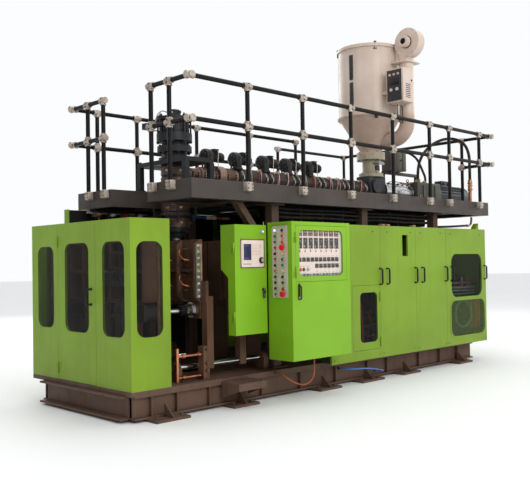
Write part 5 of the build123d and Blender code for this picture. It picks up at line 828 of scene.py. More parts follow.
def dressButtons(look):
    piece = Piece("buttonCaps", slotName="panel_grey")
    for y, kinds in zip(look["columns"], (look["near"], look["far"])):
        for row, kind in enumerate(kinds):
            if kind is None:
                continue
            z = look["top"] - row * look["pitch"]
            at = Vector((look["face"], y, z))
            piece.lathe(
                at, left, [(0, 0.0175), (0.004, 0.0175), (0.006, 0.0155), (0.0138, 0.0152)], "chrome", 24)
            face = at + Vector((-0.0135, 0, 0))
            if kind == "plug":
                piece.lathe(
                    face, left, [(0, 0.0105), (0.006, 0.0105), (0.008, 0.008), (0.008, 0)], "blackPlastic",
                    20)
            elif kind == "lamp":
                piece.lathe(
                    face, left, [(0, 0.0145), (0.006, 0.0145), (0.013, 0.01), (0.0155, 0.004), (0.016, 0)],
                    "lampWhite", 24)
            elif kind.startswith("key"):
                piece.lathe(
                    face, left, [(0, 0.0145), (0.004, 0.014), (0.006, 0.0125), (0.006, 0)], "blackPlastic",
                    24)
                slant = Matrix.Rotation(radians(-35 if row % 2 else 35), 4, "X")
                piece.box(
                    face + Vector((-0.018, -0.004, -0.0135)), face + Vector((-0.004, 0.004, 0.0135)),
                    "redPlastic" if kind == "keyRed" else "blackPlastic", 0.0015, slant)
                piece.box(
                    face + Vector((-0.0188, -0.0008, 0.002)), face + Vector((-0.0165, 0.0008, 0.0125)),
                    "panelWhite", 0, slant)
            else:
                piece.lathe(
                    face, left,
                    [(0, 0.0142), (0.007, 0.0142), (0.0105, 0.0118), (0.0115, 0.006), (0.0116, 0)], kind, 24
                )
            piece.box(
                (look["face"] - 0.0008, y - 0.016, z - 0.0285),
                (look["face"] + 0.0005, y + 0.016, z - 0.0215), "brightSteel")
    for y in (-1.443, -1.243):
        for z in (1.091, 1.45, 1.818):
            piece.screw((look["face"], y, z), left, 0.0045, "brightSteel")
    piece.done()
    for name, z in (("estopUpper", 1.598), ("estopLower", 1.118)):
        stop = Piece(
            name + "Cap", body=name.replace("estop", "estop_").lower() + "_body", slotName="red_plastic")
        stop.lathe(
            (0.282, -1.395, z), left, [(0, 0.0295), (0.004, 0.0304), (0.007, 0.0296), (0.0078, 0.026)],
            "redPlastic", 32)
        for n in range(3):  # turn arrows stand as low ribs
            a = radians(120 * n)
            stop.lathe(
                (0.2755, -1.395 + 0.016 * cos(a), z + 0.016 * sin(a)), left,
                [(0, 0.003), (0.0006, 0.0028), (0.0008, 0)], "panelWhite", 8)
        stop.done()


dressButtons(buttons)

# parison control box: frame, screen, soft keys, knob, lock and lamp
addFinish(
    "screenBlue", base=(44, 46, 84), second=(34, 36, 64), patch=6, patchAmount=0.6, rough=(0.16, 0.24),
    coat=0.2, glow=(44, 46, 96), glowStrength=0.12)
addFinish(
    "plumFrame", base=(126, 96, 88), second=(104, 78, 72), patch=8, edge=(176, 160, 150), rough=(0.35, 0.5),
    metallic=0.2)
controlBox = dict(
    panel=(-0.076, 0.263, 1.394, 1.691), screen=(-0.036, 0.072, 1.476, 1.64), front=-1.163,
    knob=(0.212, 1.472), lamp=(0.229, 1.769))


def dressControlBox(look):
    x0, x1, z0, z1 = look["panel"]
    y = look["front"] - 0.004
    piece = Piece("controlPanelTrim", body="control_door_body", slotName="panel_white")
    rim = [
        (x0 + 0.005, y - 0.001, z0 + 0.005), (x1 - 0.005, y - 0.001, z0 + 0.005),
        (x1 - 0.005, y - 0.001, z1 - 0.005), (x0 + 0.005, y - 0.001, z1 - 0.005)]
    for a, b in zip(rim, rim[1:] + rim[:1]):
        piece.box(
            (min(a[0], b[0]) - 0.005, y - 0.004, min(a[2], b[2]) - 0.005),
            (max(a[0], b[0]) + 0.005, y + 0.002, max(a[2], b[2]) + 0.005), "plumFrame", 0.0015)
    s0, s1, t0, t1 = look["screen"]
    piece.box((s0, y - 0.0022, t0), (s1, y + 0.001, t1), "screenBlue", 0.001)
    for z in (t0 + 0.018, t1 - 0.02):
        piece.box((s0 + 0.006, y - 0.0026, z), (s1 - 0.03, y - 0.002, z + 0.0016), "greyStrip")
    for row in range(4):
        for col in range(3):
            at = (s1 + 0.036 + col * 0.042, y, t1 - 0.012 - row * 0.03)
            piece.box(
                (at[0] - 0.014, y - 0.0025, at[2] - 0.009), (at[0] + 0.014, y + 0.001, at[2] + 0.009),
                "panelWhite", 0.0015)
            piece.box(
                (at[0] - 0.007, y - 0.0029, at[2] - 0.0015), (at[0] + 0.007, y - 0.002, at[2] + 0.0015),
                "plumFrame")
    for n in range(5):
        piece.box(
            (s0 + n * 0.023, y - 0.0025, t0 - 0.05), (s0 + 0.016 + n * 0.023, y + 0.001, t0 - 0.034),
            "greyStrip", 0.0015)
    for x in (x0 + 0.016, x1 - 0.016):
        for z in (z0 + 0.016, z1 - 0.016):
            piece.screw((x, y, z), front, 0.004, "brightSteel")
    lx, lz = look["lamp"]
    piece.lathe(
        (lx, look["front"], lz), front,
        [(0, 0.0215), (0.005, 0.0215), (0.007, 0.019), (0.0215, 0.0185), (0.0222, 0.0165), (0.0222, 0)],
        "greyStrip", 28)
    piece.lathe(
        (lx, look["front"] - 0.0215, lz), front,
        [(0, 0.0088), (0.005, 0.0085), (0.008, 0.006), (0.009, 0.0025), (0.009, 0)], "lampWhite", 28)
    piece.done()
    kx, kz = look["knob"]
    knob = Piece("knobDial", body="control_knob_body", slotName="black_plastic")
    for n in range(30):
        a = radians(12 * n)
        knob.rod(
            (kx + 0.0298 * cos(a), y - 0.004, kz + 0.0298 * sin(a)),
            (kx + 0.0298 * cos(a), y - 0.021, kz + 0.0298 * sin(a)), 0.0018, "blackPlastic", 6)
    knob.lathe(
        (kx, y - 0.0262, kz), front, [(0, 0.021), (0.0012, 0.021), (0.0015, 0.0195), (0.0015, 0)],
        "greyStrip", 32)
    knob.box((kx - 0.0012, y - 0.0292, kz + 0.004), (kx + 0.0012, y - 0.027, kz + 0.026), "panelWhite")
    knob.done()
    lock = Piece("swingLock", body="control_lock_body", slotName="black_plastic")
    lock.lathe(
        (0.24, look["front"] - 0.028, 1.168), front,
        [(0, 0.0105), (0.003, 0.0105), (0.004, 0.009), (0.004, 0)], "brightSteel", 20)
    lock.box(
        (0.2385, look["front"] - 0.0335, 1.162), (0.2415, look["front"] - 0.0315, 1.174), "blackPlastic")
    lock.box(
        (0.232, look["front"] - 0.0295, 1.09), (0.248, look["front"] - 0.0275, 1.124), "brightSteel", 0.003)
    lock.done()
    hinges = Piece("boxHinges", slotName="green_paint")
    for z in (0.9, 1.6):
        for side in (-0.03, 0.03):
            hinges.screw((-0.1533, -1.12, z - 0.0275 + side * 0.5), left, 0.004, "brightSteel")
    hinges.done()


dressControlBox(controlBox)
print("buttons and control box are dressed")

# panes in the windows, with a black edge strip; the default pane is tinted dark as painted shade over what
# shows inside, and the cabinet door keeps a clear pane
addFinish(
    "shadeTintedPane", base=(20, 22, 20), second=(28, 28, 25), patch=2, patchAmount=0.4, rough=(0.05, 0.1),
    bump=(6, 0.0001), bumpStrength=0.05, alpha=0.3, specular=0.15)
addFinish(
    "clearPane", base=(200, 204, 202), second=(210, 210, 208), patch=2, rough=(0.04, 0.08),
    bump=(6, 0.0001), bumpStrength=0.05, alpha=0.05, specular=0.2)
panes = dict(
    guardFixed=dict(
        body="machine", plane="x", at=-1.3355, low=(0.334, 0.805), high=(0.668, 1.651), radius=0.095),
    guardNear=dict(
        body="machine", plane="x", at=-1.3355, low=(-0.966, 0.774), high=(-0.595, 1.669), radius=0.095),
    guardDoor=dict(
        body="guard_door_body", plane="x", at=-1.3355, low=(-0.349, 0.786), high=(0.104, 1.671),
        radius=0.095),
    guardFront=dict(
        body="machine", plane="y", at=-1.0585, low=(-1.274, 0.773), high=(-0.977, 1.664), radius=0.095),
    coverLook=dict(
        body="machine", plane="y", at=-1.2085, low=(3.784, 0.929), high=(4.584, 1.523), radius=0.12),
    coverSide=dict(
        body="machine", plane="y", at=-1.2085, low=(1.33, 0.475), high=(1.56, 1.069), radius=0.06),
    accessDoor=dict(
        body="access_door_body", plane="y", at=-1.2085, low=(1.784, 0.475), high=(2.114, 1.069), radius=0.06
    ),
    cabinetDoor=dict(
        body="cabinet_door_body", plane="y", at=-1.5085, low=(0.428, 1.297), high=(1.118, 1.777),
        radius=0.06, finish="clearPane"),
)


def glaze(name, look):
    grow = 0.008
    low = [v - grow for v in look["low"]]
    high = [v + grow for v in look["high"]]
    outline = roundedOutline(low, high, look["radius"] + grow)
    strip = roundedOutline(look["low"], look["high"], look["radius"], 5)
    at = look["at"]
    piece = Piece(name + "Pane", body=look["body"], slotName="green_paint")
    if look["plane"] == "x":
        piece.prism([(at, a, b) for a, b in outline], (0.003, 0, 0), look.get("finish", "shadeTintedPane"))
        piece.tube(
            [(at - 0.0015, a, b) for a, b in strip], 0.0022, "blackPlastic", 6, closed=True, smooth=1)
    else:
        piece.prism([(a, at, b) for a, b in outline], (0, 0.003, 0), look.get("finish", "shadeTintedPane"))
        piece.tube(
            [(a, at - 0.0015, b) for a, b in strip], 0.0022, "blackPlastic", 6, closed=True, smooth=1)
    piece.done()


for name, look in panes.items():
    glaze(name, look)

# expanded mesh in the lower opening
meshSheet = dict(
    low=(3.758, 0.392), high=(4.644, 0.881), radius=0.11, pitch=(0.022, 0.045), strand=0.0046, y=-1.2095)


def weaveMesh(look):
    (x0, z0), (x1, z1), r = look["low"], look["high"], look["radius"]
    sideX, sideZ = look["pitch"]
    piece = Piece("expandedMesh", slotName="mesh")

    def inside(x, z):
        dx = max(abs(x - (x0 + x1) / 2) - ((x1 - x0) / 2 - r), 0)
        dz = max(abs(z - (z0 + z1) / 2) - ((z1 - z0) / 2 - r), 0)
        return hypot(dx, dz) <= r - 0.001

    for slope in (1, -1):
        reach = int((x1 - x0 + (z1 - z0) * sideX / sideZ) / sideX) + 3
        for n in range(-2, reach):
            start = x0 + n * sideX if slope > 0 else x1 - n * sideX
            points = []
            steps = 90
            for k in range(steps + 1):
                z = z0 + (z1 - z0) * k / steps
                x = start - slope * (z - z0) * sideX / sideZ
                if inside(x, z):
                    points.append((x, look["y"] + slope * 0.0006, z))
            if len(points) > 1:
                piece.rod(points[0], points[-1], look["strand"] / 2, "meshSteel", 5)
    strip = roundedOutline(look["low"], look["high"], r - 0.001, 6)
    piece.tube([(x, look["y"], z) for x, z in strip], 0.004, "meshSteel", 6, closed=True, smooth=1)
    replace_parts(piece.done(), "mesh_grille")


weaveMesh(meshSheet)
print("windows are glazed")

# covers: handle feet, screws along the top, louvres behind, and what stands inside
addFinish(
    "orangePipe", base=(186, 92, 52), second=(160, 74, 44), patch=12, rough=(0.35, 0.5), dust=(96, 70, 50),
    dustScale=9, dustAmount=0.4)
addFinish(
    "teal", base=(96, 138, 122), second=(78, 116, 104), patch=8, rough=(0.3, 0.45), dust=(90, 86, 70),
    dustScale=9, dustAmount=0.4)
# the dark corner colour of silverPaint is painted shade in corners and recesses
addFinish(
    "silverPaint", base=(168, 170, 170), second=(146, 148, 148), patch=7, rough=(0.3, 0.42), metallic=0.6,
    dust=(104, 92, 78), dustScale=8, dustAmount=0.4, cavity=(50, 46, 42))
covers = dict(
    front=-1.213, top=1.875, handles=[2.177, 2.321, 2.92, 3.077, 3.626, 3.773, 4.656], handleZ=(1.16, 1.35),
    screws=[2.05, 2.34, 2.83, 3.05, 3.53, 3.78, 4.55])


def dressCovers(look):
    y = look["front"]
    piece = Piece("coverFastenings", slotName="black_plastic")
    for x in look["handles"]:
        for z in look["handleZ"]:
            piece.lathe(
                (x, y, z), front, [(0, 0.0135), (0.004, 0.0135), (0.006, 0.0105), (0.009, 0.0095)],
                "blackPlastic", 18)
    for x in look["handles"]:  # sleeves on the bars
        piece.rod(
            (x, y - 0.042, look["handleZ"][0] + 0.012), (x, y - 0.042, look["handleZ"][1] - 0.012), 0.0115,
            "blackPlastic", 16, 0.002)
    piece.box((0.399, -1.5245, 1.058), (0.427, -1.5125, 1.224), "blackPlastic", 0.005)
    piece.box((0.402, -1.5275, 1.064), (0.424, -1.5235, 1.09), "greyStrip", 0.002)
    for z in (1.067, 1.2):
        piece.lathe(
            (0.412, -1.513, z), front, [(0, 0.012), (0.004, 0.012), (0.006, 0.0085), (0.009, 0.008)],
            "blackPlastic", 18)
    for z in (1.068, 1.217):
        piece.lathe(
            (-1.34, -0.396, z), left, [(0, 0.0155), (0.004, 0.0155), (0.007, 0.0115), (0.01, 0.011)],
            "blackPlastic", 18)
    for x in look["screws"]:
        piece.screw((x, y, look["top"] - 0.075), front, 0.009, "darkSteel")
    for x in (1.3, 2.15, 2.23, 2.9, 2.98, 3.62, 3.7, 4.66):
        piece.screw((x, y, 0.315), front, 0.008, "darkSteel")
    for x in (1.27, 2.36, 2.44, 3.51, 3.59, 4.66):
        for z in (0.33, 1.1, 1.83):
            piece.screw((x, 0.738, z), rear, 0.008, "darkSteel")
    piece.done()
    vents = Piece("rearLouvres", slotName="green_paint")
    for x0, x1 in ((1.45, 2.2), (2.6, 3.35), (3.75, 4.5)):
        for z in [0.55 + 0.045 * n for n in range(9)] + [1.4 + 0.045 * n for n in range(5)]:
            vents.prism(
                [(x0, 0.738, z), (x0, 0.7505, z), (x0, 0.738, z + 0.028)], (x1 - x0, 0, 0), "greenPaint")
            # the black strip under each blade is painted shade
            vents.box((x0 + 0.006, 0.7375, z - 0.004), (x1 - 0.006, 0.7385, z - 0.0002), "blackPlastic")
    for y0, y1 in ((-0.9, -0.25), (0.0, 0.6)):
        for n in range(12):
            z = 1.2 + 0.042 * n
            vents.prism(
                [(4.725, y0, z), (4.7365, y0, z), (4.725, y0, z + 0.026)], (0, y1 - y0, 0), "greenPaint")
            # the black strip under each blade is painted shade
            vents.box((4.7245, y0 + 0.006, z - 0.004), (4.7255, y1 - 0.006, z - 0.0002), "blackPlastic")
    vents.done()


dressCovers(covers)

# die head: heater bands, bolts, nuts and the oil connection
# the dark corner colours of brass, bandSteel and blueSteel are painted shade in corners and recesses
addFinish(
    "brass", base=(178, 150, 104), second=(146, 118, 80), patch=14, rough=(0.28, 0.42), metallic=0.8,
    dust=(86, 70, 52), dustScale=16, dustAmount=0.4, cavity=(48, 38, 26))
addFinish(
    "bandSteel", base=(108, 86, 72), second=(84, 66, 56), patch=7, edge=(176, 158, 142), rough=(0.3, 0.46),
    metallic=0.55, dust=(84, 66, 50), dustScale=9, dustAmount=0.5, cavity=(34, 26, 22))
addFinish(
    "blueSteel", base=(60, 64, 68), second=(48, 50, 54), patch=5, edge=(128, 130, 132), rough=(0.34, 0.5),
    metallic=0.5, dust=(92, 80, 68), dustScale=9, dustAmount=0.4, cavity=(20, 20, 20))
head = dict(
    bodyRadius=0.15, bands=[(1.86, 1.96), (2.03, 2.13), (2.17, 2.26), (2.33, 2.42), (2.45, 2.54)],
    lowFlange=(2.708, 2.777, 0.196),
    highFlange=(2.831, 2.923, 0.202), drum=(2.923, 3.068, 0.159), topPlate=(3.068, 3.106), tieCircle=0.186,
    cap=(3.119, 3.199, 0.077),
)


def dressHead(look):
    piece = Piece("headHardware", slotName="head_black")
    r = look["bodyRadius"]
    for z0, z1 in look["bands"]:
        piece.lathe(
            (0, 0, z0), upward,
            [(0, r + 0.001), (0, r + 0.009), (z1 - z0, r + 0.009), (z1 - z0, r + 0.001)], "bandSteel", 40)
        for a in (225, 45):
            way = Vector((cos(radians(a)), sin(radians(a)), 0))
            side = Vector((-way.y, way.x, 0))
            for z in (z0 + 0.018, z1 - 0.018):
                at = way * (r + 0.02) + Vector((0, 0, z))
                piece.rod(at - side * 0.028, at + side * 0.028, 0.0045, "brightSteel", 8)
                for s in (-1, 1):
                    piece.box(
                        [c - 0.007 for c in at + side * 0.016 * s],
                        [c + 0.007 for c in at + side * 0.016 * s], "bandSteel", 0.001)
        for a in (200, 255):
            way = Vector((cos(radians(a)), sin(radians(a)), 0))
            at = way * (r + 0.004) + Vector((0, 0, (z0 + z1) / 2))
            piece.lathe(
                at, way, [(0, 0.014), (0.018, 0.014), (0.02, 0.009), (0.036, 0.009)], "panelWhite", 14)
            piece.lathe(at + way * 0.034, way, [(0, 0.004), (0.012, 0.004)], "brass", 8)
    z0, z1, fr = look["lowFlange"]
    for n in range(12):
        a = radians(30 * n + 8)
        x, y = 0.168 * cos(a), 0.168 * sin(a)
        piece.hexagon((x, y, z1), upward, 0.0155, 0.02, "darkSteel")
        piece.hexagon((x, y, z0), downward, 0.0155, 0.018, "darkSteel")
    for n in range(2):  # lifting studs
        piece.lathe(
            (0.176 if n else -0.176, -0.03, z1), upward,
            [(0, 0.02), (0.012, 0.02), (0.02, 0.012), (0.05, 0.003), (0.052, 0)], "headBlack", 16)
    z0, z1, fr = look["highFlange"]
    for n in range(8):
        a = radians(45 * n)
        x, y = look["tieCircle"] * cos(a), look["tieCircle"] * sin(a)
        piece.hexagon((x, y, z0), downward, 0.0165, 0.018, "darkSteel")
        piece.hexagon((x, y, look["topPlate"][1]), upward, 0.0205, 0.024, "darkSteel")
        piece.rod(
            (x, y, look["topPlate"][1] + 0.02), (x, y, look["topPlate"][1] + 0.04), 0.0105, "brightSteel",
            12, 0.002)
    d0, d1, dr = look["drum"]
    for n in range(24):  # cooling ribs on the drum
        a = radians(15 * n + 7.5)
        way = Vector((cos(a), sin(a), 0))
        turn = Matrix.Rotation(a, 4, "Z")
        middle = way * (dr + 0.003)
        piece.box(
            (middle.x - 0.007, middle.y - 0.0055, d0 + 0.012),
            (middle.x + 0.007, middle.y + 0.0055, d1 - 0.008), "blueSteel", 0.0015, turn)
    c0, c1, cr = look["cap"]
    piece.lathe(
        (0, 0, c0 + 0.046), upward, [(0, cr), (0.002, cr + 0.006), (0.022, cr + 0.006), (0.024, cr)],
        "headBlack", 32)
    for n in range(6):
        a = radians(60 * n)
        piece.hexagon(
            ((cr - 0.024) * cos(a), (cr - 0.024) * sin(a), c1 - 0.004), upward, 0.008, 0.007, "darkSteel",
            False)
    piece.lathe(
        (-0.055, -0.053, 3.155), (-1, -1, 0), [(0, 0.016), (0.012, 0.016), (0.014, 0.011), (0.014, 0)],
        "darkSteel", 16)
    piece.tube(
        [
            (-0.075, 0.0, 3.12), (-0.1, 0.0, 3.16), (-0.16, 0.01, 3.17), (-0.21, 0.02, 3.13),
            (-0.235, 0.03, 3.06), (-0.24, 0.04, 2.99), (-0.265, 0.06, 2.985)
        ], 0.0065, "brightSteel", 8)
    piece.box((-0.352, 0.058, 2.956), (-0.346, 0.122, 3.012), "blueSteel", 0.002)
    for y in (0.066, 0.114):
        for z in (2.962, 3.006):
            piece.screw((-0.3555, y, z), left, 0.0035, "brightSteel")
    for x, y in ((-0.175, -0.42), (0.175, -0.42), (-0.175, 0.42), (0.175, 0.42), (-0.175, 0), (0.175, 0.2)):
        piece.hexagon((x, y, 2.612), upward, 0.017, 0.018, "darkSteel")
    for x in (-0.175, 0.175):
        for y in (-0.42, 0.42):
            piece.box((x - 0.055, y - 0.029, 2.293), (x + 0.055, y + 0.029, 2.304), "headBlack", 0.002)
            for s in (-1, 1):
                piece.hexagon((x + 0.044 * s, y, 2.304), upward, 0.009, 0.01, "darkSteel")
    piece.done()
    drops = Piece("headUnderworks", slotName="head_black")
    # conduits from the deck to the low bands
    for a, top in ((-150, 2.29), (-120, 2.29), (-60, 2.29), (-30, 2.29), (150, 2.29)):
        way = Vector((cos(radians(a)), sin(radians(a)), 0))
        drops.tube(
            [
                way * 0.24 + Vector((0, 0, 2.285)), way * 0.24 + Vector((0, 0, 2.12)),
                way * 0.235 + Vector((0, 0, 1.98)), way * 0.2 + Vector((0, 0, 1.915)),
                way * 0.162 + Vector((0, 0, 1.91))
            ], 0.007, "darkSteel", 8)
        drops.lathe(
            way * 0.158 + Vector((0, 0, 1.91)), way,
            [(0, 0.014), (0.02, 0.014), (0.022, 0.01), (0.03, 0.01)], "brass", 6)
    for n in range(8):
        a = radians(45 * n + 20)
        drops.hexagon((0.137 * cos(a), 0.137 * sin(a), 1.813), downward, 0.009, 0.01, "brightSteel")
    drops.lathe(
        (0, 0, 1.99), upward,
        [(0, 0.151), (0, 0.17), (0.006, 0.173), (0.026, 0.173), (0.032, 0.17), (0.032, 0.151)], "bandSteel",
        40)
    for n in range(12):
        a = radians(30 * n)
        drops.hexagon(
            (0.1725 * cos(a), 0.1725 * sin(a), 2.006), (cos(a), sin(a), 0), 0.007, 0.008, "darkSteel")
    drops.done()


dressHead(head)

# extruder: straps, latches, vents, terminals and leads clipped along the barrel
addFinish(
    "leadWhite", base=(214, 206, 196), second=(186, 176, 164), patch=40, rough=(0.4, 0.55),
    dust=(120, 104, 88), dustScale=60, dustAmount=0.4)
addFinish(
    "leadRed", base=(192, 84, 64), second=(168, 66, 50), patch=40, rough=(0.4, 0.55), dust=(104, 70, 54),
    dustScale=60, dustAmount=0.4)
extruder = dict(axis=2.485, start=0.905, end=3.4, zones=5, radius=0.118, tray=(-0.3, -0.22, 2.3, 2.345))


def dressExtruder(look):
    z, r = look["axis"], look["radius"]
    piece = Piece("barrelDress", slotName="grey_cover")
    zone = (look["end"] - look["start"]) / look["zones"]
    for n in range(look["zones"]):
        x0, x1 = look["start"] + n * zone, look["start"] + (n + 1) * zone
        for x in (x0 + 0.05, x1 - 0.05):  # straps with a toggle
            piece.lathe(
                (x - 0.011, 0, z), right,
                [(0, r + 0.0002), (0, r + 0.003), (0.022, r + 0.003), (0.022, r + 0.0002)], "brightSteel",
                40)
            piece.box(
                (x - 0.009, -r - 0.016, z - 0.03), (x + 0.009, -r - 0.004, z + 0.03), "brightSteel", 0.003)
            piece.rod(
                (x - 0.014, -r - 0.012, z + 0.02), (x + 0.014, -r - 0.012, z + 0.02), 0.004, "darkSteel", 8)
        for k in range(9):  # vent slots low on the front and the back, drawn as black discs of painted shade in the holes
            x = x0 + 0.095 + k * (zone - 0.19) / 8
            for side in (-1, 1):
                for lift in (-26, -38):
                    a = radians(lift)
                    at = Vector((x, side * cos(a) * (r - 0.0015), z + sin(a) * (r - 0.0015)))
                    piece.lathe(
                        at, (0, side * cos(a), sin(a)), [(0, 0.009), (0.0035, 0.009), (0.0035, 0)],
                        "blackPlastic", 10)
        for x in (x0 + zone * 0.32, x0 + zone * 0.68):  # heater terminals: ceramic caps with studs
            a = radians(58)
            way = Vector((0, -cos(a), sin(a)))
            at = Vector((x, 0, z)) + way * (r - 0.002)
            piece.lathe(at, way, [(0, 0.019), (0.014, 0.019), (0.017, 0.014), (0.017, 0)], "panelWhite", 16)
            for s in (-0.008, 0.008):
                piece.lathe(
                    at + Vector((s, 0, 0)) + way * 0.016, way, [(0, 0.003), (0.009, 0.003)], "brass", 8)
    x = 0.64  # bolted ring on the adapter
    for side, at in ((-1, 0.59), (1, 0.69)):
        for n in range(10):
            a = radians(36 * n + 9)
            piece.hexagon(
                (at, 0.1065 * cos(a), z + 0.1065 * sin(a)), (side, 0, 0), 0.009, 0.01, "darkSteel")
    for x0, x1, rr in ((0.2, 0.31, 0.068), (0.36, 0.46, 0.0925), (0.5, 0.575, 0.078), (0.71, 0.86, 0.1045)):
        piece.lathe(
            (x0, 0, z), right, [(0, rr), (0, rr + 0.004), (x1 - x0, rr + 0.004), (x1 - x0, rr)],
            "bandSteel", 36)
        for at in (x0 + 0.014, x1 - 0.014):
            piece.rod((at, -rr - 0.012, z - 0.03), (at, -rr - 0.012, z + 0.03), 0.004, "brightSteel", 8)
            piece.box(
                (at - 0.008, -rr - 0.018, z - 0.022), (at + 0.008, -rr - 0.002, z - 0.008), "bandSteel",
                0.001)
            piece.box(
                (at - 0.008, -rr - 0.018, z + 0.008), (at + 0.008, -rr - 0.002, z + 0.022), "bandSteel",
                0.001)
    piece.done()
    tray = Piece("wireTray", slotName="deck_paint")
    y0, y1, z0, z1 = look["tray"]
    tray.box((0.4, y0, z0 - 0.007), (3.3, y1, z0 - 0.003), "deckPaint", 0.001)
    tray.box((0.4, y0, z0 - 0.007), (3.3, y0 + 0.003, z1), "deckPaint", 0.001)
    tray.box((0.4, y1 - 0.003, z0 - 0.007), (3.3, y1, z1), "deckPaint", 0.001)
    for n in range(15):
        tray.box(
            (0.5 + n * 0.19, y0 - 0.001, z0 + 0.006), (0.56 + n * 0.19, y0 + 0.0005, z1 - 0.01),
            "blackPlastic")
    tray.done()
    leads = Piece("heaterLeads", slotName="grey_cover")
    for n in range(look["zones"]):
        for k, share in enumerate((0.32, 0.68)):
            x = look["start"] + (n + share) * zone
            for s, finish in (
                (-0.008, "leadRed" if (n + k) % 2 else "leadWhite"), (0.006, "leadWhite"),
                (0.016, "leadRed" if k else "leadWhite")):
                drift = random.uniform(-0.02, 0.02)
                points = []
                for lift, out in (
                    (58, 0.022), (46, 0.034), (30, 0.018), (8, 0.008), (-14, 0.006), (-34, 0.012)):
                    a = radians(lift)
                    share2 = (58 - lift) / 92
                    points.append((x + s + drift * share2 * 2, -cos(a) * (r + out), z + sin(a) * (r + out)))
                points += [
                    (x + s + drift * 2.4, -0.165, 2.38), (x + s + drift * 2.6, -0.215, 2.352),
                    (x + s + drift * 2.8, -0.25, 2.33), (x + s + drift * 3 + 0.02, -0.262, 2.306)]
                leads.tube(points, 0.0042, finish, 6, smooth=3)
    for y in (-0.285, -0.27, -0.255, -0.24):  # the loom in the tray
        points = [
            (
                0.42 + 0.2 * i, y + random.uniform(-0.005, 0.005), 2.303 + random.uniform(0, 0.012)
            ) for i in range(15)]
        leads.tube(points, 0.006, random.choice(("leadRed", "leadWhite", "hoseBlack")), 6, smooth=2)
    leads.done()


dressExtruder(extruder)

# barrel blowers: rounded scroll with an inlet grille, ribbed motor, cowl and terminal box
blowers = dict(
    places=[0.465, 0.918, 1.386, 1.803, 2.217], z=2.712, axis=2.485, scrollRadius=0.088, scrollWidth=0.11,
    motorRadius=0.062, motorLength=0.17)


def buildBlowers(look):
    piece = Piece("coolingBlowers", slotName="blower_black")
    r, w, m, z = look["scrollRadius"], look["scrollWidth"], look["motorRadius"], look["z"]
    for x in look["places"]:
        saddle = (0.118 if x > 0.905 else 0.091) + 0.0003
        x0 = x - w / 2
        piece.lathe((x0, 0, z), right, [
            (0.006, 0), (0.006, 0.03), (0, 0.034), (0, 0.046), (0.004, 0.05), (0.004, 0.07), (0.01, 0.082),
            (0.02, r),
            (0.05, r), (0.0505, r + 0.003), (0.0595, r + 0.003), (0.06, r), (0.09, r), (0.1, 0.082),
            (0.106, 0.07), (w, 0.066), (w, 0)], "blowerBlack", 40)
        for n in range(5):  # inlet grille
            piece.tube(
                [
                    (
                        x0 + 0.001, 0.0085 * n * cos(radians(a)), z + 0.0085 * n * sin(radians(a))
                    ) for a in range(0, 360, 30)
                ], 0.0016, "darkSteel", 5, closed=True, smooth=1
            ) if n else None
        for a in (0, 60, 120):
            way = Vector((0, cos(radians(a)), sin(radians(a)))) * 0.04
            piece.rod(
                Vector((x0 + 0.001, 0, z)) - way, Vector((x0 + 0.001, 0, z)) + way, 0.0016, "darkSteel", 5)
        for n in range(6):
            a = radians(60 * n + 30)
            piece.screw((x0 + 0.004, 0.06 * cos(a), z + 0.06 * sin(a)), left, 0.0045, "brightSteel")
        low = look["axis"] + sqrt(saddle ** 2 - 0.05 ** 2)
        # outlet down to the cover
        piece.box((x0 + 0.014, -r + 0.001, low + 0.012), (x0 + w - 0.014, -0.004, z), "blowerBlack", 0.004)
        piece.box(
            (x0 + 0.004, -r - 0.004, low - 0.012), (x0 + w - 0.004, 0.03, low + 0.016), "blowerBlack", 0.002
        )
        for s in (-1, 1):
            piece.box(
                (x - 0.012 + s * 0.03, 0.028, look["axis"] + saddle - 0.02),
                (x + 0.012 + s * 0.03, 0.034, z - 0.04), "darkSteel", 0.001)
        m0 = x + w / 2
        length = look["motorLength"]
        piece.lathe(
            (m0, 0, z), right,
            [
                (0, m - 0.008), (0.01, m - 0.008), (0.012, m + 0.002), (0.022, m + 0.002),
                (0.024, m - 0.008), (0.12, m - 0.008), (0.122, m), (length, m), (length + 0.016, m - 0.006),
                (length + 0.024, m - 0.016), (length + 0.024, m - 0.024), (length + 0.02, m - 0.026),
                (length + 0.02, 0)
            ], "blowerBlack", 36)
        for n in range(26):
            a = radians(360 / 26 * n)
            at = Vector((m0 + 0.073, (m - 0.006) * cos(a), z + (m - 0.006) * sin(a)))
            piece.box(
                (at.x - 0.047, at.y - 0.0045, at.z - 0.001), (at.x + 0.047, at.y + 0.0045, at.z + 0.001),
                "blowerBlack", 0, Matrix.Rotation(a, 4, "X"))
        for n in range(1, 4):
            piece.tube(
                [
                    (
                        m0 + length + 0.0215, 0.01 * n * cos(radians(a)), z + 0.01 * n * sin(radians(a))
                    ) for a in range(0, 360, 30)
                ], 0.0014, "bandSteel", 5, closed=True, smooth=1)
        piece.box(
            (m0 + 0.042, -0.033, z + m - 0.01), (m0 + 0.118, 0.033, z + m + 0.03), "blowerBlack", 0.004)
        piece.box(
            (m0 + 0.038, -0.036, z + m + 0.026), (m0 + 0.122, 0.036, z + m + 0.034), "blowerBlack", 0.003)
        piece.lathe(
            (m0 + 0.08, -0.033, z + m + 0.01), front,
            [(0, 0.009), (0.012, 0.009), (0.014, 0.006), (0.022, 0.006)], "blackPlastic", 12)
        piece.tube(
            [
                (m0 + 0.08, -0.05, z + m + 0.01), (m0 + 0.075, -0.07, z + m - 0.004),
                (m0 + 0.06, -0.092, z + 0.02), (m0 + 0.045, -0.1, z - 0.05), (m0 + 0.04, -0.108, z - 0.1),
                (m0 + 0.035, -0.124, z - 0.15)
            ], 0.0045, "leadWhite", 6)
    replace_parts(piece.done(), "blowers")


buildBlowers(blowers)
print("head and extruder are dressed")

# feed throat, drive, gearbox and motor
drive = dict(
    axis=2.485, throatX=3.62, gearbox=(4.521, 5.157), motor=(5.157, 6.063), unit=(4.201, 4.543, 2.83, 3.15))


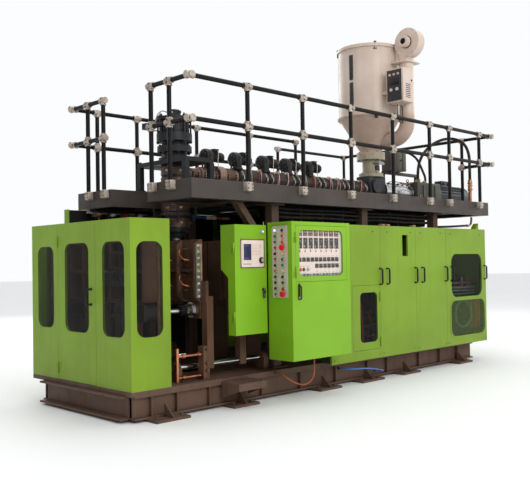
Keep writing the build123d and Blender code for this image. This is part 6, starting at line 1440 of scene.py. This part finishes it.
def dressDrive(look):
    z, tx = look["axis"], look["throatX"]
    piece = Piece("driveHardware", slotName="grey_green")
    for n in range(8):
        a = radians(45 * n + 22.5)
        c, s = cos(a), sin(a)
        piece.hexagon((tx + 0.153 * c, 0.153 * s, 2.726), upward, 0.011, 0.012, "darkSteel")
        piece.hexagon((tx + 0.19 * c, 0.19 * s, 3.03), upward, 0.011, 0.012, "darkSteel")
        piece.hexagon((tx + 0.19 * c, 0.19 * s, 2.922), downward, 0.011, 0.012, "darkSteel")
        piece.hexagon((3.846, 0.144 * c, z + 0.144 * s), right, 0.007, 0.01, "darkSteel")
        piece.hexagon((4.475, 0.144 * c, z + 0.144 * s), left, 0.007, 0.01, "darkSteel")
        piece.hexagon((5.187, 0.182 * c * 0.98, z + 0.182 * s * 0.98), right, 0.008, 0.012, "darkSteel")
    piece.box((tx - 0.046, -0.1285, 2.77), (tx + 0.046, -0.1235, 2.832), "darkLens", 0.002)
    for x in (tx - 0.055, tx + 0.055):
        for zz in (2.762, 2.84):
            piece.screw((x * 1.0, -0.1125, zz), front, 0.005, "brightSteel")
    for n in range(5):  # oil ports on the coupling
        piece.lathe(
            (3.93 + n * 0.12, -0.078, z + 0.112), (0, -0.57, 0.82),
            [(0, 0.016), (0.012, 0.016), (0.014, 0.01), (0.02, 0.01), (0.02, 0)],
            "brass" if n % 2 else "darkSteel", 6)
    piece.tube(
        [
            (3.93, -0.092, z + 0.13), (3.98, -0.12, z + 0.145), (4.1, -0.13, z + 0.14),
            (4.3, -0.13, z + 0.135), (4.42, -0.12, z + 0.14), (4.5, -0.13, z + 0.16)
        ], 0.007, "copper", 8)
    g0, g1 = look["gearbox"]
    for x in (g0 + 0.06, g0 + 0.23, g0 + 0.39, g0 + 0.55):
        for y in (-0.15, 0.15):
            piece.hexagon((x, y, 2.655), upward, 0.013, 0.014, "darkSteel")
    for x in (g0 + 0.05, 5.02):
        for y in (-0.215, 0.215):
            piece.hexagon((x, y, 2.316), upward, 0.016, 0.018, "darkSteel")
    piece.lathe(
        (g0 + 0.08, -0.195, 2.42), front,
        [(0, 0.03), (0.008, 0.03), (0.012, 0.026), (0.012, 0.019), (0.006, 0.018), (0.006, 0)], "brass", 24)
    piece.lathe((g0 + 0.08, -0.2015, 2.42), front, [(0, 0.018), (0.001, 0.018), (0.001, 0)], "darkLens", 24)
    piece.lathe(
        (g0 + 0.08, -0.195, 2.34), front, [(0, 0.016), (0.01, 0.016), (0.012, 0.012), (0.012, 0)],
        "darkSteel", 6)
    for x in (g0 + 0.1, g0 + 0.54):  # lifting eyes
        piece.lathe(
            (x, 0.06, 2.655), upward, [(0, 0.022), (0.008, 0.022), (0.01, 0.012), (0.02, 0.012)],
            "darkSteel", 16)
        piece.tube(
            [(x, 0.06 + 0.02 * cos(radians(a)), 2.692 + 0.02 * sin(radians(a))) for a in range(0, 360, 30)],
            0.006, "darkSteel", 8, closed=True, smooth=1)
    piece.lathe(
        (g0 + 0.4, -0.05, 2.655), upward,
        [
            (0, 0.018), (0.01, 0.018), (0.012, 0.012), (0.03, 0.012), (0.032, 0.02), (0.044, 0.02),
            (0.048, 0.014), (0.048, 0)
        ], "brass", 20)
    piece.lathe(
        (4.6, -0.15, 2.66), upward,
        [(0, 0.04), (0.016, 0.04), (0.018, 0.036), (0.036, 0.036), (0.038, 0.03), (0.044, 0.03)], "brass", 6
    )
    for zz in (2.5, 2.56, 2.6):
        piece.lathe(
            (5.045, -0.79, zz), upward, [(0, 0.036), (0.004, 0.0385), (0.022, 0.0385), (0.026, 0.036)],
            "brass", 24 if zz != 2.56 else 6)
    m0, m1 = look["motor"]
    for n in range(4):
        a = radians(90 * n + 45)
        piece.hexagon(
            (m1 - 0.02, 0.175 * cos(a), z + 0.175 * sin(a)), (0, cos(a), sin(a)), 0.006, 0.004,
            "brightSteel", False)
    piece.box((5.392, -0.07, z + 0.235), (5.648, 0.07, z + 0.2478), "motorPaint", 0.004)
    for x in (5.405, 5.635):
        for y in (-0.055, 0.055):
            piece.screw((x, y, z + 0.2475), upward, 0.006, "brightSteel")
    piece.lathe(
        (5.45, -0.06, z + 0.2), front, [(0, 0.02), (0.012, 0.02), (0.014, 0.015), (0.03, 0.015)],
        "blackPlastic", 16)
    piece.lathe(
        (5.59, -0.06, z + 0.2), front, [(0, 0.02), (0.012, 0.02), (0.014, 0.015), (0.02, 0.015), (0.02, 0)],
        "blackPlastic", 16)
    piece.done()
    unit = Piece("lubricationUnit", slotName="grey_green")
    x0, x1, z0, z1 = look["unit"]
    unit.box((x0, 0.0, z0), (x0 + 0.2, 0.24, z1), "greyGreen", 0.006)
    unit.box((x0 + 0.212, 0.02, z0), (x1, 0.22, z1 - 0.02), "greyGreen", 0.006)
    unit.box((x0 + 0.012, -0.004, z0 + 0.015), (x0 + 0.188, 0.001, z1 - 0.015), "greyGreen", 0.003)
    unit.box((x0 + 0.23, 0.014, z0 + 0.02), (x1 - 0.02, 0.0205, z1 - 0.04), "greyGreen", 0.003)
    unit.lathe(
        (x0 + 0.17, -0.003, z0 + 0.16), front,
        [(0, 0.012), (0.006, 0.012), (0.008, 0.008), (0.014, 0.008), (0.014, 0)], "blackPlastic", 16)
    unit.box((4.19, 0.16, 2.79), (5.1, 0.24, 2.832), "deckPaint", 0.003)
    for x in (4.2, 5.06):
        unit.box((x, 0.205, 2.292), (x + 0.04, 0.24, 2.79), "deckPaint", 0.002)
        unit.box((x - 0.03, 0.19, 2.292), (x + 0.07, 0.29, 2.3), "deckPaint", 0.002)
    unit.tube(
        [
            (4.543, 0.1, 3.1), (4.6, 0.09, 3.13), (4.66, 0.07, 3.14), (4.76, 0.05, 3.11),
            (4.85, 0.03, 3.05), (4.93, 0.02, 2.95), (4.98, 0.01, 2.86), (5.02, 0.0, 2.78), (5.03, 0.0, 2.7),
            (5.03, 0.0, 2.65)
        ], 0.019, "hoseBlack", 12)
    for at, way in (((4.54, 0.1, 3.1), right), ((5.03, 0, 2.655), upward)):
        unit.lathe(at, way, [(0, 0.026), (0.03, 0.026), (0.033, 0.021), (0.05, 0.021)], "brass", 6)
    unit.done()


dressDrive(drive)

# screens, trunking and pipes under the platform, which close the view behind the clamp
addFinish(
    "shadeBlack", base=(17, 15, 14), second=(25, 21, 19), patch=3, edge=(50, 44, 40), rough=(0.5, 0.65),
    specular=0.12, dust=(38, 31, 27), dustScale=5, dustAmount=0.4, bump=(160, 0.0003))
# the dark corner colours of guardInside and pipeBeige are painted shade in corners and recesses
addFinish(
    "guardInside", base=(74, 58, 48), second=(54, 43, 36), patch=3, edge=(110, 92, 78), rough=(0.45, 0.6),
    dust=(96, 78, 62), dustScale=6, dustAmount=0.4, streak=(40, 32, 28), streakAmount=0.5,
    cavity=(20, 17, 15))
addFinish(
    "pipeBeige", base=(176, 146, 118), second=(146, 112, 88), patch=9, edge=(206, 188, 164),
    rough=(0.35, 0.5), dust=(96, 74, 58), dustScale=12, dustAmount=0.5, cavity=(48, 36, 28))
addFinish(
    "valveBlue", base=(44, 84, 136), second=(34, 66, 110), patch=16, edge=(110, 136, 168),
    rough=(0.3, 0.42), dust=(70, 66, 62), dustScale=16, dustAmount=0.4)
underDeck = dict(
    rearY=(0.886, 0.906), rearX=(-0.885, 1.31), low=0.29, top=2.086, returns=(0.8, 0.7405),
    posts=[-0.6, -0.2, 0.2, 0.6, 1.0],
    trunking=dict(x=(0.74, 3.82), y=(-0.78, -0.6), z=(1.915, 2.088)), lid=0.006,
)


def closeUnderDeck(look):
    piece = Piece("rearScreen", slotName="green_paint")
    (y0, y1), (x0, x1) = look["rearY"], look["rearX"]
    for start, end in ((x0, 0.2), (0.206, x1)):  # two sheets with folded edges, green outside
        piece.box((start, y1 - 0.002, look["low"]), (end, y1, look["top"]), "greenPaint", 0.0008)
        piece.box(
            (start, y1 - 0.0045, look["low"] + 0.002), (end, y1 - 0.0022, look["top"] - 0.002),
            "shadeBlack", 0.0008)
        for a, b in ((start, start + 0.003), (end - 0.003, end)):
            piece.box((a, y0, look["low"]), (b, y1, look["top"]), "shadeBlack", 0.0008)
    for x, y in zip((x0 - 0.003, x1), look["returns"]):  # plates back to the guard and to the covers
        piece.box((x, y, look["low"]), (x + 0.003, y1, look["top"]), "greenPaint", 0.0008)
    for x in look["posts"]:
        piece.box((x - 0.016, y0, look["low"]), (x + 0.016, y1 - 0.005, look["top"]), "shadeBlack", 0.003)
        for z in (0.5, 1.2, 1.9):
            piece.screw((x, y1, z), rear, 0.007, "darkSteel")
    for n in range(4):  # upper sheets over the rear covers
        a = 1.262 + n * 0.86
        piece.box((a, 0.744, 1.868), (a + 0.852, 0.747, 2.088), "shadeBlack", 0.0008)
        piece.box((a, 0.7472, 1.868), (a + 0.852, 0.749, 2.088), "greenPaint", 0.0006)
    piece.done()
    duct = Piece("cableTrunking", slotName="deck_paint")
    (tx0, tx1), (ty0, ty1), (tz0, tz1) = (look["trunking"][k] for k in "xyz")
    duct.box((tx0, ty0, tz0), (tx1, ty1, tz1), "shadeBlack", 0.006)
    for n in range(8):  # lids with a gap between them, and straps up to the deck
        a = tx0 + n * (tx1 - tx0) / 8
        duct.box(
            (a + 0.004, ty0 - look["lid"], tz0 + 0.012), (a + (tx1 - tx0) / 8 - 0.004, ty0, tz1 - 0.02),
            "shadeBlack", 0.002)
        duct.box((a + 0.1, ty0 - 0.01, tz0 - 0.006), (a + 0.13, ty1 + 0.004, tz1), "darkSteel", 0.001)
        duct.screw((a + 0.115, ty0 - 0.01, tz0 + 0.05), front, 0.006, "brightSteel")
    for k, (y, z, r, finish) in enumerate(
        (
            (-0.83, 2.056, 0.016, "hoseBlack"), (-0.86, 2.01, 0.012, "darkSteel"),
            (-0.84, 1.962, 0.019, "hoseBlack"), (-0.57, 1.99, 0.02, "bandSteel"))):
        duct.tube(
            [
                (
                    0.76 + n * 0.305, y + 0.006 * sin(n * 2.1 + k), z + 0.005 * cos(n * 1.7 + k)
                ) for n in range(11)
            ], r, finish, 10, smooth=2)
    duct.done()
    pipes = Piece("airLines", slotName="deck_paint")
    pipes.tube(
        [(4.11, -0.79, 1.92), (4.4, -0.79, 1.93), (4.7, -0.79, 1.945), (4.93, -0.79, 1.958)], 0.016,
        "hoseBlack", 10)
    pipes.lathe(
        (4.925, -0.79, 1.957), right, [(0, 0.02), (0.014, 0.023), (0.03, 0.023), (0.034, 0.019)], "brass", 6
    )
    pipes.tube(
        [
            (4.955, -0.79, 1.958), (5.0, -0.79, 1.962), (5.04, -0.79, 1.985), (5.058, -0.79, 2.03),
            (5.062, -0.79, 2.09)
        ], 0.017, "brass", 10)
    pipes.tube(
        [(0.225, 0.0, 1.986), (0.34, 0.0, 1.986), (0.45, 0.0, 1.986)], 0.017, "valveBlue", 12, smooth=2)
    for a, b, r, finish in (
        (0.45, 0.52, 0.021, "panelWhite"), (0.53, 0.6, 0.021, "panelWhite"),
        (0.6, 0.7, 0.015, "orangePipe"), (0.7, 0.81, 0.019, "pipeBeige")):
        pipes.rod((a, 0, 1.986), (b, 0, 1.986), r, finish, 14, 0.003)
    for x in (0.3, 0.66):
        pipes.box((x - 0.01, -0.012, 1.99), (x + 0.01, 0.012, 2.094), "darkSteel", 0.002)
    for n in range(5):  # valve row at the rear left
        x = -0.58 + n * 0.19
        pipes.box(
            (x - 0.05, 0.7, 2.0), (x + 0.05, 0.755, 2.06), "darkSteel" if n % 2 else "guardInside", 0.006)
        pipes.lathe(
            (x, 0.7, 2.03), front, [(0, 0.02), (0.03, 0.02), (0.034, 0.014), (0.06, 0.014), (0.06, 0)],
            ("brass", "panelWhite", "redPlastic", "panelWhite", "brass")[n], 14)
        pipes.tube(
            [
                (x + 0.03, 0.72, 2.0), (x + 0.04, 0.74, 1.95), (x + 0.08, 0.85, 1.91),
                (x + 0.09, 0.877, 1.76)
            ], 0.007, ("leadRed", "hoseBlack", "copper", "hoseBlack", "leadWhite")[n], 8)
        pipes.box((x + 0.07, 0.866, 1.715), (x + 0.11, 0.887, 1.765), "darkSteel", 0.003)
    pipes.box((-0.66, 0.712, 2.058), (0.53, 0.748, 2.094), "shadeBlack", 0.003)
    pipes.tube(
        [(-0.7, 0.73, 2.05), (-0.3, 0.735, 2.048), (0.1, 0.73, 2.052), (0.5, 0.735, 2.05)], 0.015,
        "silverPaint", 10)
    pipes.done()


closeUnderDeck(underDeck)
print("the space under the deck is fitted")

# what stands inside the guard and around the clamp
clampDress = dict(
    strip=(-0.345, -0.7795, 1.112, 1.636, 9), rod=(0.672, 0.97), shelfZ=[1.55, 1.4, 1.25, 1.1, 0.95])


def dressClamp(look):
    piece = Piece("platenFittings", body="left_clamp", slotName="bright_steel")
    x, y, z0, z1, count = look["strip"]
    for n in range(count):  # ports down the strip, with a tan edge bar beside it
        z = z0 + n * (z1 - z0) / (count - 1)
        piece.lathe(
            (-0.312, -0.7792, z), front,
            [(0, 0.0135), (0.004, 0.0135), (0.005, 0.01), (0.002, 0.008), (0.002, 0)], "panelWhite", 16)
        piece.lathe((-0.312, -0.781, z), front, [(0, 0.006), (0.001, 0.006), (0.001, 0)], "shadeBlack", 12)
    piece.box((-0.2815, -0.778, 1.094), (-0.2625, -0.766, 1.655), "pipeBeige", 0.002)
    ry, rz = look["rod"]
    for side in (-1, 1):  # cushion cylinder with an end flange
        piece.lathe(
            (-0.49, side * ry, rz), right,
            [
                (0, 0.034), (0.004, 0.058), (0.018, 0.062), (0.024, 0.062), (0.026, 0.052), (0.15, 0.052),
                (0.152, 0.06), (0.176, 0.06), (0.178, 0.034)
            ], "shadeBlack", 28)
        for n in range(6):
            a = radians(60 * n)
            piece.screw(
                (-0.486, side * ry + 0.047 * cos(a), rz + 0.047 * sin(a)), left, 0.006, "brightSteel")
    for n, z in enumerate((1.6, 1.48, 1.33, 1.17)):  # water fittings on the platen's outer face
        for y in (-0.55, -0.25, 0.15):
            piece.lathe(
                (-0.279, y, z), left,
                [
                    (0, 0.016), (0.012, 0.016), (0.014, 0.01), (0.03, 0.01), (0.032, 0.013), (0.044, 0.013),
                    (0.044, 0)
                ], "brass", 6)
            piece.tube(
                [
                    (-0.32, y, z), (-0.37, y - 0.005, z - 0.005), (-0.395, y - 0.02, z - 0.05),
                    (-0.375, y - 0.06, z - 0.1), (-0.32, y - 0.09, z - 0.115)
                ], 0.0085, "copper" if (n + int(y * 20)) % 2 else "hoseBlack", 8)
    piece.done()
    inner = Piece("guardFittings", slotName="deck_paint")
    for z in look["shelfZ"]:  # rack behind the near end window
        inner.box((-1.266, -0.985, z), (-1.218, -0.58, z + 0.022), "guardInside", 0.004)
    for y in (-0.985, -0.79, -0.59):
        inner.box((-1.27, y, 0.79), (-1.25, y + 0.018, 1.64), "darkSteel", 0.003)
    inner.rod((-1.24, -0.72, 1.33), (-1.24, -0.42, 1.33), 0.0675, "slateCast", 28, 0.006)
    inner.rod((-1.24, -0.75, 1.33), (-1.24, -0.72, 1.33), 0.05, "darkSteel", 24, 0.004)
    inner.box((-0.985, -1.02, 0.3), (-0.958, -0.99, 1.86), "pipeBeige", 0.01)
    inner.tube(
        [(-0.95, -0.96, 0.3), (-0.95, -0.96, 0.8), (-0.952, -0.958, 1.3), (-0.95, -0.96, 1.85)], 0.014,
        "copper", 12)
    inner.box((-1.17, 0.7, 0.35), (-0.9, 0.742, 1.8), "guardInside", 0.006)
    for z in (0.55, 0.9, 1.25, 1.6):
        inner.box((-1.165, 0.692, z), (-0.905, 0.7, z + 0.04), "darkSteel", 0.003)
    inner.done()


dressClamp(clampDress)
print("clamp is fitted")

# what shows through the cover windows: pump and hoses, duct, tank top and pipes
coverContents = dict(
    ring=(4.189, -1.14, 0.684, 0.186), strips=[4.42, 4.5, 4.55, 4.62], seams=[1.134, 1.366],
    back=(3.77, 4.66, 0.9, 1.56),
    pump=(2.31, -0.93, 0.755),
)


def fillCovers(look):
    piece = Piece("coverContents", slotName="dark_green")
    x, y, z, r = look["ring"]
    piece.tube(
        [(x + r * cos(radians(a)) * 1.1, y, z + r * sin(radians(a))) for a in range(0, 360, 15)], 0.017,
        "teal", 10, closed=True, smooth=2)
    piece.lathe(
        (x, y + 0.035, z), front,
        [(0, r * 0.92), (0.01, r * 0.92), (0.012, r * 0.8), (0.002, r * 0.5), (0.002, 0)], "shadeBlack", 36)
    for at in look["strips"]:
        piece.rod((at, y + 0.008, 0.47), (at + 0.01, y + 0.008, 0.87), 0.0115, "orangePipe", 10)
    x0, x1, z0, z1 = look["back"]
    edges = [z0, *look["seams"], z1]
    for a, b in zip(edges, edges[1:]):  # sheet back in three strips
        piece.box((x0, -0.352, a + 0.004), (x1, -0.34, b - 0.004), "guardInside", 0.004)
    piece.box((3.9, -1.12, 0.952), (4.57, -1.082, 0.976), "teal", 0.008)
    for zz, rr, finish in (
        (1.05, 0.015, "silverPaint"), (1.006, 0.012, "silverPaint"), (1.115, 0.009, "copper")):
        piece.tube(
            [(3.8, -1.1, zz), (4.05, -1.1, zz + 0.004), (4.3, -1.1, zz), (4.56, -1.1, zz - 0.002)], rr,
            finish, 10)
    piece.box((4.42, -0.98, 1.03), (4.61, -0.96, 1.2), "silverPaint", 0.005)
    piece.prism([(4.51, -1.05, 1.165), (4.6, -1.05, 1.1), (4.45, -1.05, 1.075)], (0, 0.012, 0), "leadRed")
    piece.lathe(
        (4.28, -0.93, 1.03), upward,
        [(0, 0.06), (0.02, 0.062), (0.1, 0.062), (0.11, 0.05), (0.14, 0.05), (0.145, 0.03), (0.145, 0)],
        "darkSteel", 28)
    px, py, pz = look["pump"]
    piece.lathe(
        (px - 0.11, py, pz - 0.02), right,
        [(0, 0.05), (0.02, 0.075), (0.16, 0.078), (0.18, 0.06), (0.2, 0.04), (0.22, 0.04)], "slateCast", 30)
    piece.tube(
        [
            (px - 0.1, py - 0.08, pz + 0.075), (px - 0.03, py - 0.09, pz + 0.113),
            (px + 0.05, py - 0.09, pz + 0.09), (px + 0.097, py - 0.085, pz - 0.01),
            (px + 0.06, py - 0.085, pz - 0.08), (px - 0.022, py - 0.08, pz - 0.098),
            (px - 0.09, py - 0.08, pz - 0.03)
        ], 0.013, "orangePipe", 10, closed=True, smooth=3)
    piece.box((px - 0.13, py - 0.05, pz - 0.19), (px + 0.12, py + 0.08, pz - 0.12), "darkSteel", 0.008)
    for n, finish in enumerate(("redPlastic", "panelWhite", "valveBlue")):
        piece.lathe(
            (px - 0.1 + n * 0.08, py - 0.06, pz - 0.235), front,
            [(0, 0.016), (0.02, 0.016), (0.022, 0.01), (0.022, 0)], finish, 16)
        piece.tube(
            [
                (px - 0.1 + n * 0.08, py - 0.03, pz - 0.25), (px - 0.11 + n * 0.07, py, pz - 0.33),
                (px - 0.12 + n * 0.07, py + 0.02, pz - 0.45)
            ], 0.01, "hoseBlack", 8)
    for n in range(4):  # loops of hose beside the pump
        piece.tube(
            [
                (1.86 + n * 0.06, -0.98, 1.12), (1.87 + n * 0.06, -1.0, 0.9),
                (1.89 + n * 0.055, -1.02, 0.7), (1.95 + n * 0.05, -1.0, 0.52), (2.0 + n * 0.05, -0.95, 0.4)
            ], 0.012, ("hoseBlack", "bandSteel", "hoseBlack", "leadRed")[n], 8)
    piece.box((1.7, -0.72, 0.33), (2.62, -0.7, 1.2), "shadeBlack", 0.004)
    for x in (2.35, 2.46, 3.02):  # small blocks that stand on the covers
        piece.box((x, -1.13, 1.8755), (x + 0.06, -1.07, 1.905), "pipeBeige", 0.005)
    piece.prism(
        [
            (4.635, -1.1, 1.8755), (4.781 - 0.06, -1.1, 1.8755), (4.781 - 0.06, -1.1, 1.97),
            (4.66, -1.1, 1.92)
        ], (0, 0.08, 0), "greenPaint")
    piece.done()


fillCovers(coverContents)

# dryer: sight strips, lid clamps, ring flange, latch, the box's panel and the fan's inlet
dryer = dict(
    middle=(3.62, 0.0), radius=0.454, strips=[(4.04, 4.4), (3.68, 4.005)], boxX=3.335, boxY=-0.797,
    fan=(3.59, -0.688, 4.52, 0.203))


def dressDryer(look):
    (cx, cy), r = look["middle"], look["radius"]
    piece = Piece("dryerFittings", slotName="cream_paint")
    for z0, z1 in look["strips"]:  # sight glasses on the left
        piece.box((cx - r - 0.008, cy - 0.062, z0), (cx - r + 0.006, cy + 0.002, z1), "slateCast", 0.005)
        piece.box(
            (cx - r - 0.0105, cy - 0.042, z0 + 0.02), (cx - r - 0.006, cy - 0.018, z1 - 0.02), "darkLens",
            0.002)
        for n in range(4):
            z = z0 + 0.012 + n * (z1 - z0 - 0.024) / 3
            for y in (cy - 0.054, cy - 0.006):
                piece.screw((cx - r - 0.008, y, z), left, 0.004, "brightSteel")
    piece.lathe(
        (cx, cy, 3.527), upward,
        [
            (0, r + 0.001), (0, r + 0.02), (0.004, r + 0.022), (0.018, r + 0.022), (0.02, r + 0.02),
            (0.02, r + 0.001)
        ], "creamPaint", 72)
    for n in range(16):
        a = radians(22.5 * n + 6)
        piece.hexagon(
            (cx + (r + 0.011) * cos(a), cy + (r + 0.011) * sin(a), 3.547), upward, 0.0065, 0.006,
            "brightSteel")
    for a in (229, 135, 20, -45):  # clamps that hold the lid, and one latch on the ring
        way = Vector((cos(radians(a)), sin(radians(a)), 0))
        side = Vector((-way.y, way.x, 0))
        at = Vector((cx, cy, 0)) + way * (r + 0.008)
        piece.rod(at + Vector((0, 0, 4.45)), at + Vector((0, 0, 4.56)), 0.009, "brightSteel", 12, 0.002)
        piece.rod(
            at - side * 0.022 + Vector((0, 0, 4.46)), at + side * 0.022 + Vector((0, 0, 4.46)), 0.007,
            "darkSteel", 10)
        piece.rod(
            at - side * 0.018 + Vector((0, 0, 4.555)), at + side * 0.018 + Vector((0, 0, 4.555)), 0.011,
            "blackPlastic", 12, 0.002)
    at = Vector((cx, cy, 0)) + Vector((cos(radians(229)), sin(radians(229)), 0)) * (r + 0.006)
    piece.box((at.x - 0.018, at.y - 0.018, 3.468), (at.x + 0.018, at.y + 0.018, 3.522), "darkSteel", 0.004)
    x, y = look["boxX"], look["boxY"]
    piece.box((x - 0.0095, -0.778, 3.66), (x - 0.0075, -0.536, 4.092), "slateCast", 0.0006)
    for yy, finish in ((-0.727, "buttonGreen"), (-0.657, "redPlastic"), (-0.587, "buttonAmber")):
        piece.lathe(
            (x - 0.009, yy, 4.026), left,
            [(0, 0.019), (0.004, 0.019), (0.005, 0.015), (0.012, 0.014), (0.015, 0.008), (0.0155, 0)],
            finish, 20)
    for yy in (-0.707, -0.607):
        piece.box((x - 0.016, yy - 0.016, 3.796), (x - 0.009, yy + 0.016, 3.836), "pipeBeige", 0.003)
    piece.box((x - 0.013, -0.74, 3.88), (x - 0.009, -0.575, 3.972), "blackPlastic", 0.003)
    piece.box((x - 0.0145, -0.727, 3.915), (x - 0.0125, -0.588, 3.962), "darkLens", 0.001)
    for n in range(8):
        piece.box(
            (3.4, y - 0.0012, 3.7 + n * 0.026), (3.51, y + 0.0005, 3.71 + n * 0.026), "shadeBlack", 0.0003)
    piece.lathe(
        (3.54, y, 3.95), front, [(0, 0.014), (0.006, 0.014), (0.008, 0.01), (0.008, 0)], "darkSteel", 18)
    fx, fy, fz, fr = look["fan"]
    piece.lathe(
        (3.5055, fy, fz), left,
        [(0, 0.0775), (0.004, 0.0765), (0.006, 0.07), (0.0045, 0.044), (0.001, 0.042), (0.001, 0)],
        "creamPaint", 36)
    piece.lathe((3.5045, fy, fz), left, [(0, 0.0415), (0.0012, 0.0415), (0.0012, 0)], "shadeBlack", 36)
    piece.lathe(
        (fx - 0.001, fy, fz), left,
        [(0, fr * 0.42), (0.008, fr * 0.42), (0.01, fr * 0.38), (0.004, fr * 0.34), (0.004, 0)],
        "shadeBlack", 36)
    for n in range(1, 5):
        piece.tube(
            [
                (
                    fx - 0.011, fy + 0.0165 * n * cos(radians(a)), fz + 0.0165 * n * sin(radians(a))
                ) for a in range(0, 360, 20)
            ], 0.0018, "brightSteel", 5, closed=True, smooth=1)
    for n in range(12):
        a = radians(30 * n)
        piece.screw(
            (fx, fy + (fr - 0.014) * cos(a), fz + (fr - 0.014) * sin(a)), left, 0.006, "brightSteel")
    piece.done()


dressDryer(dryer)
print("covers and dryer are fitted")
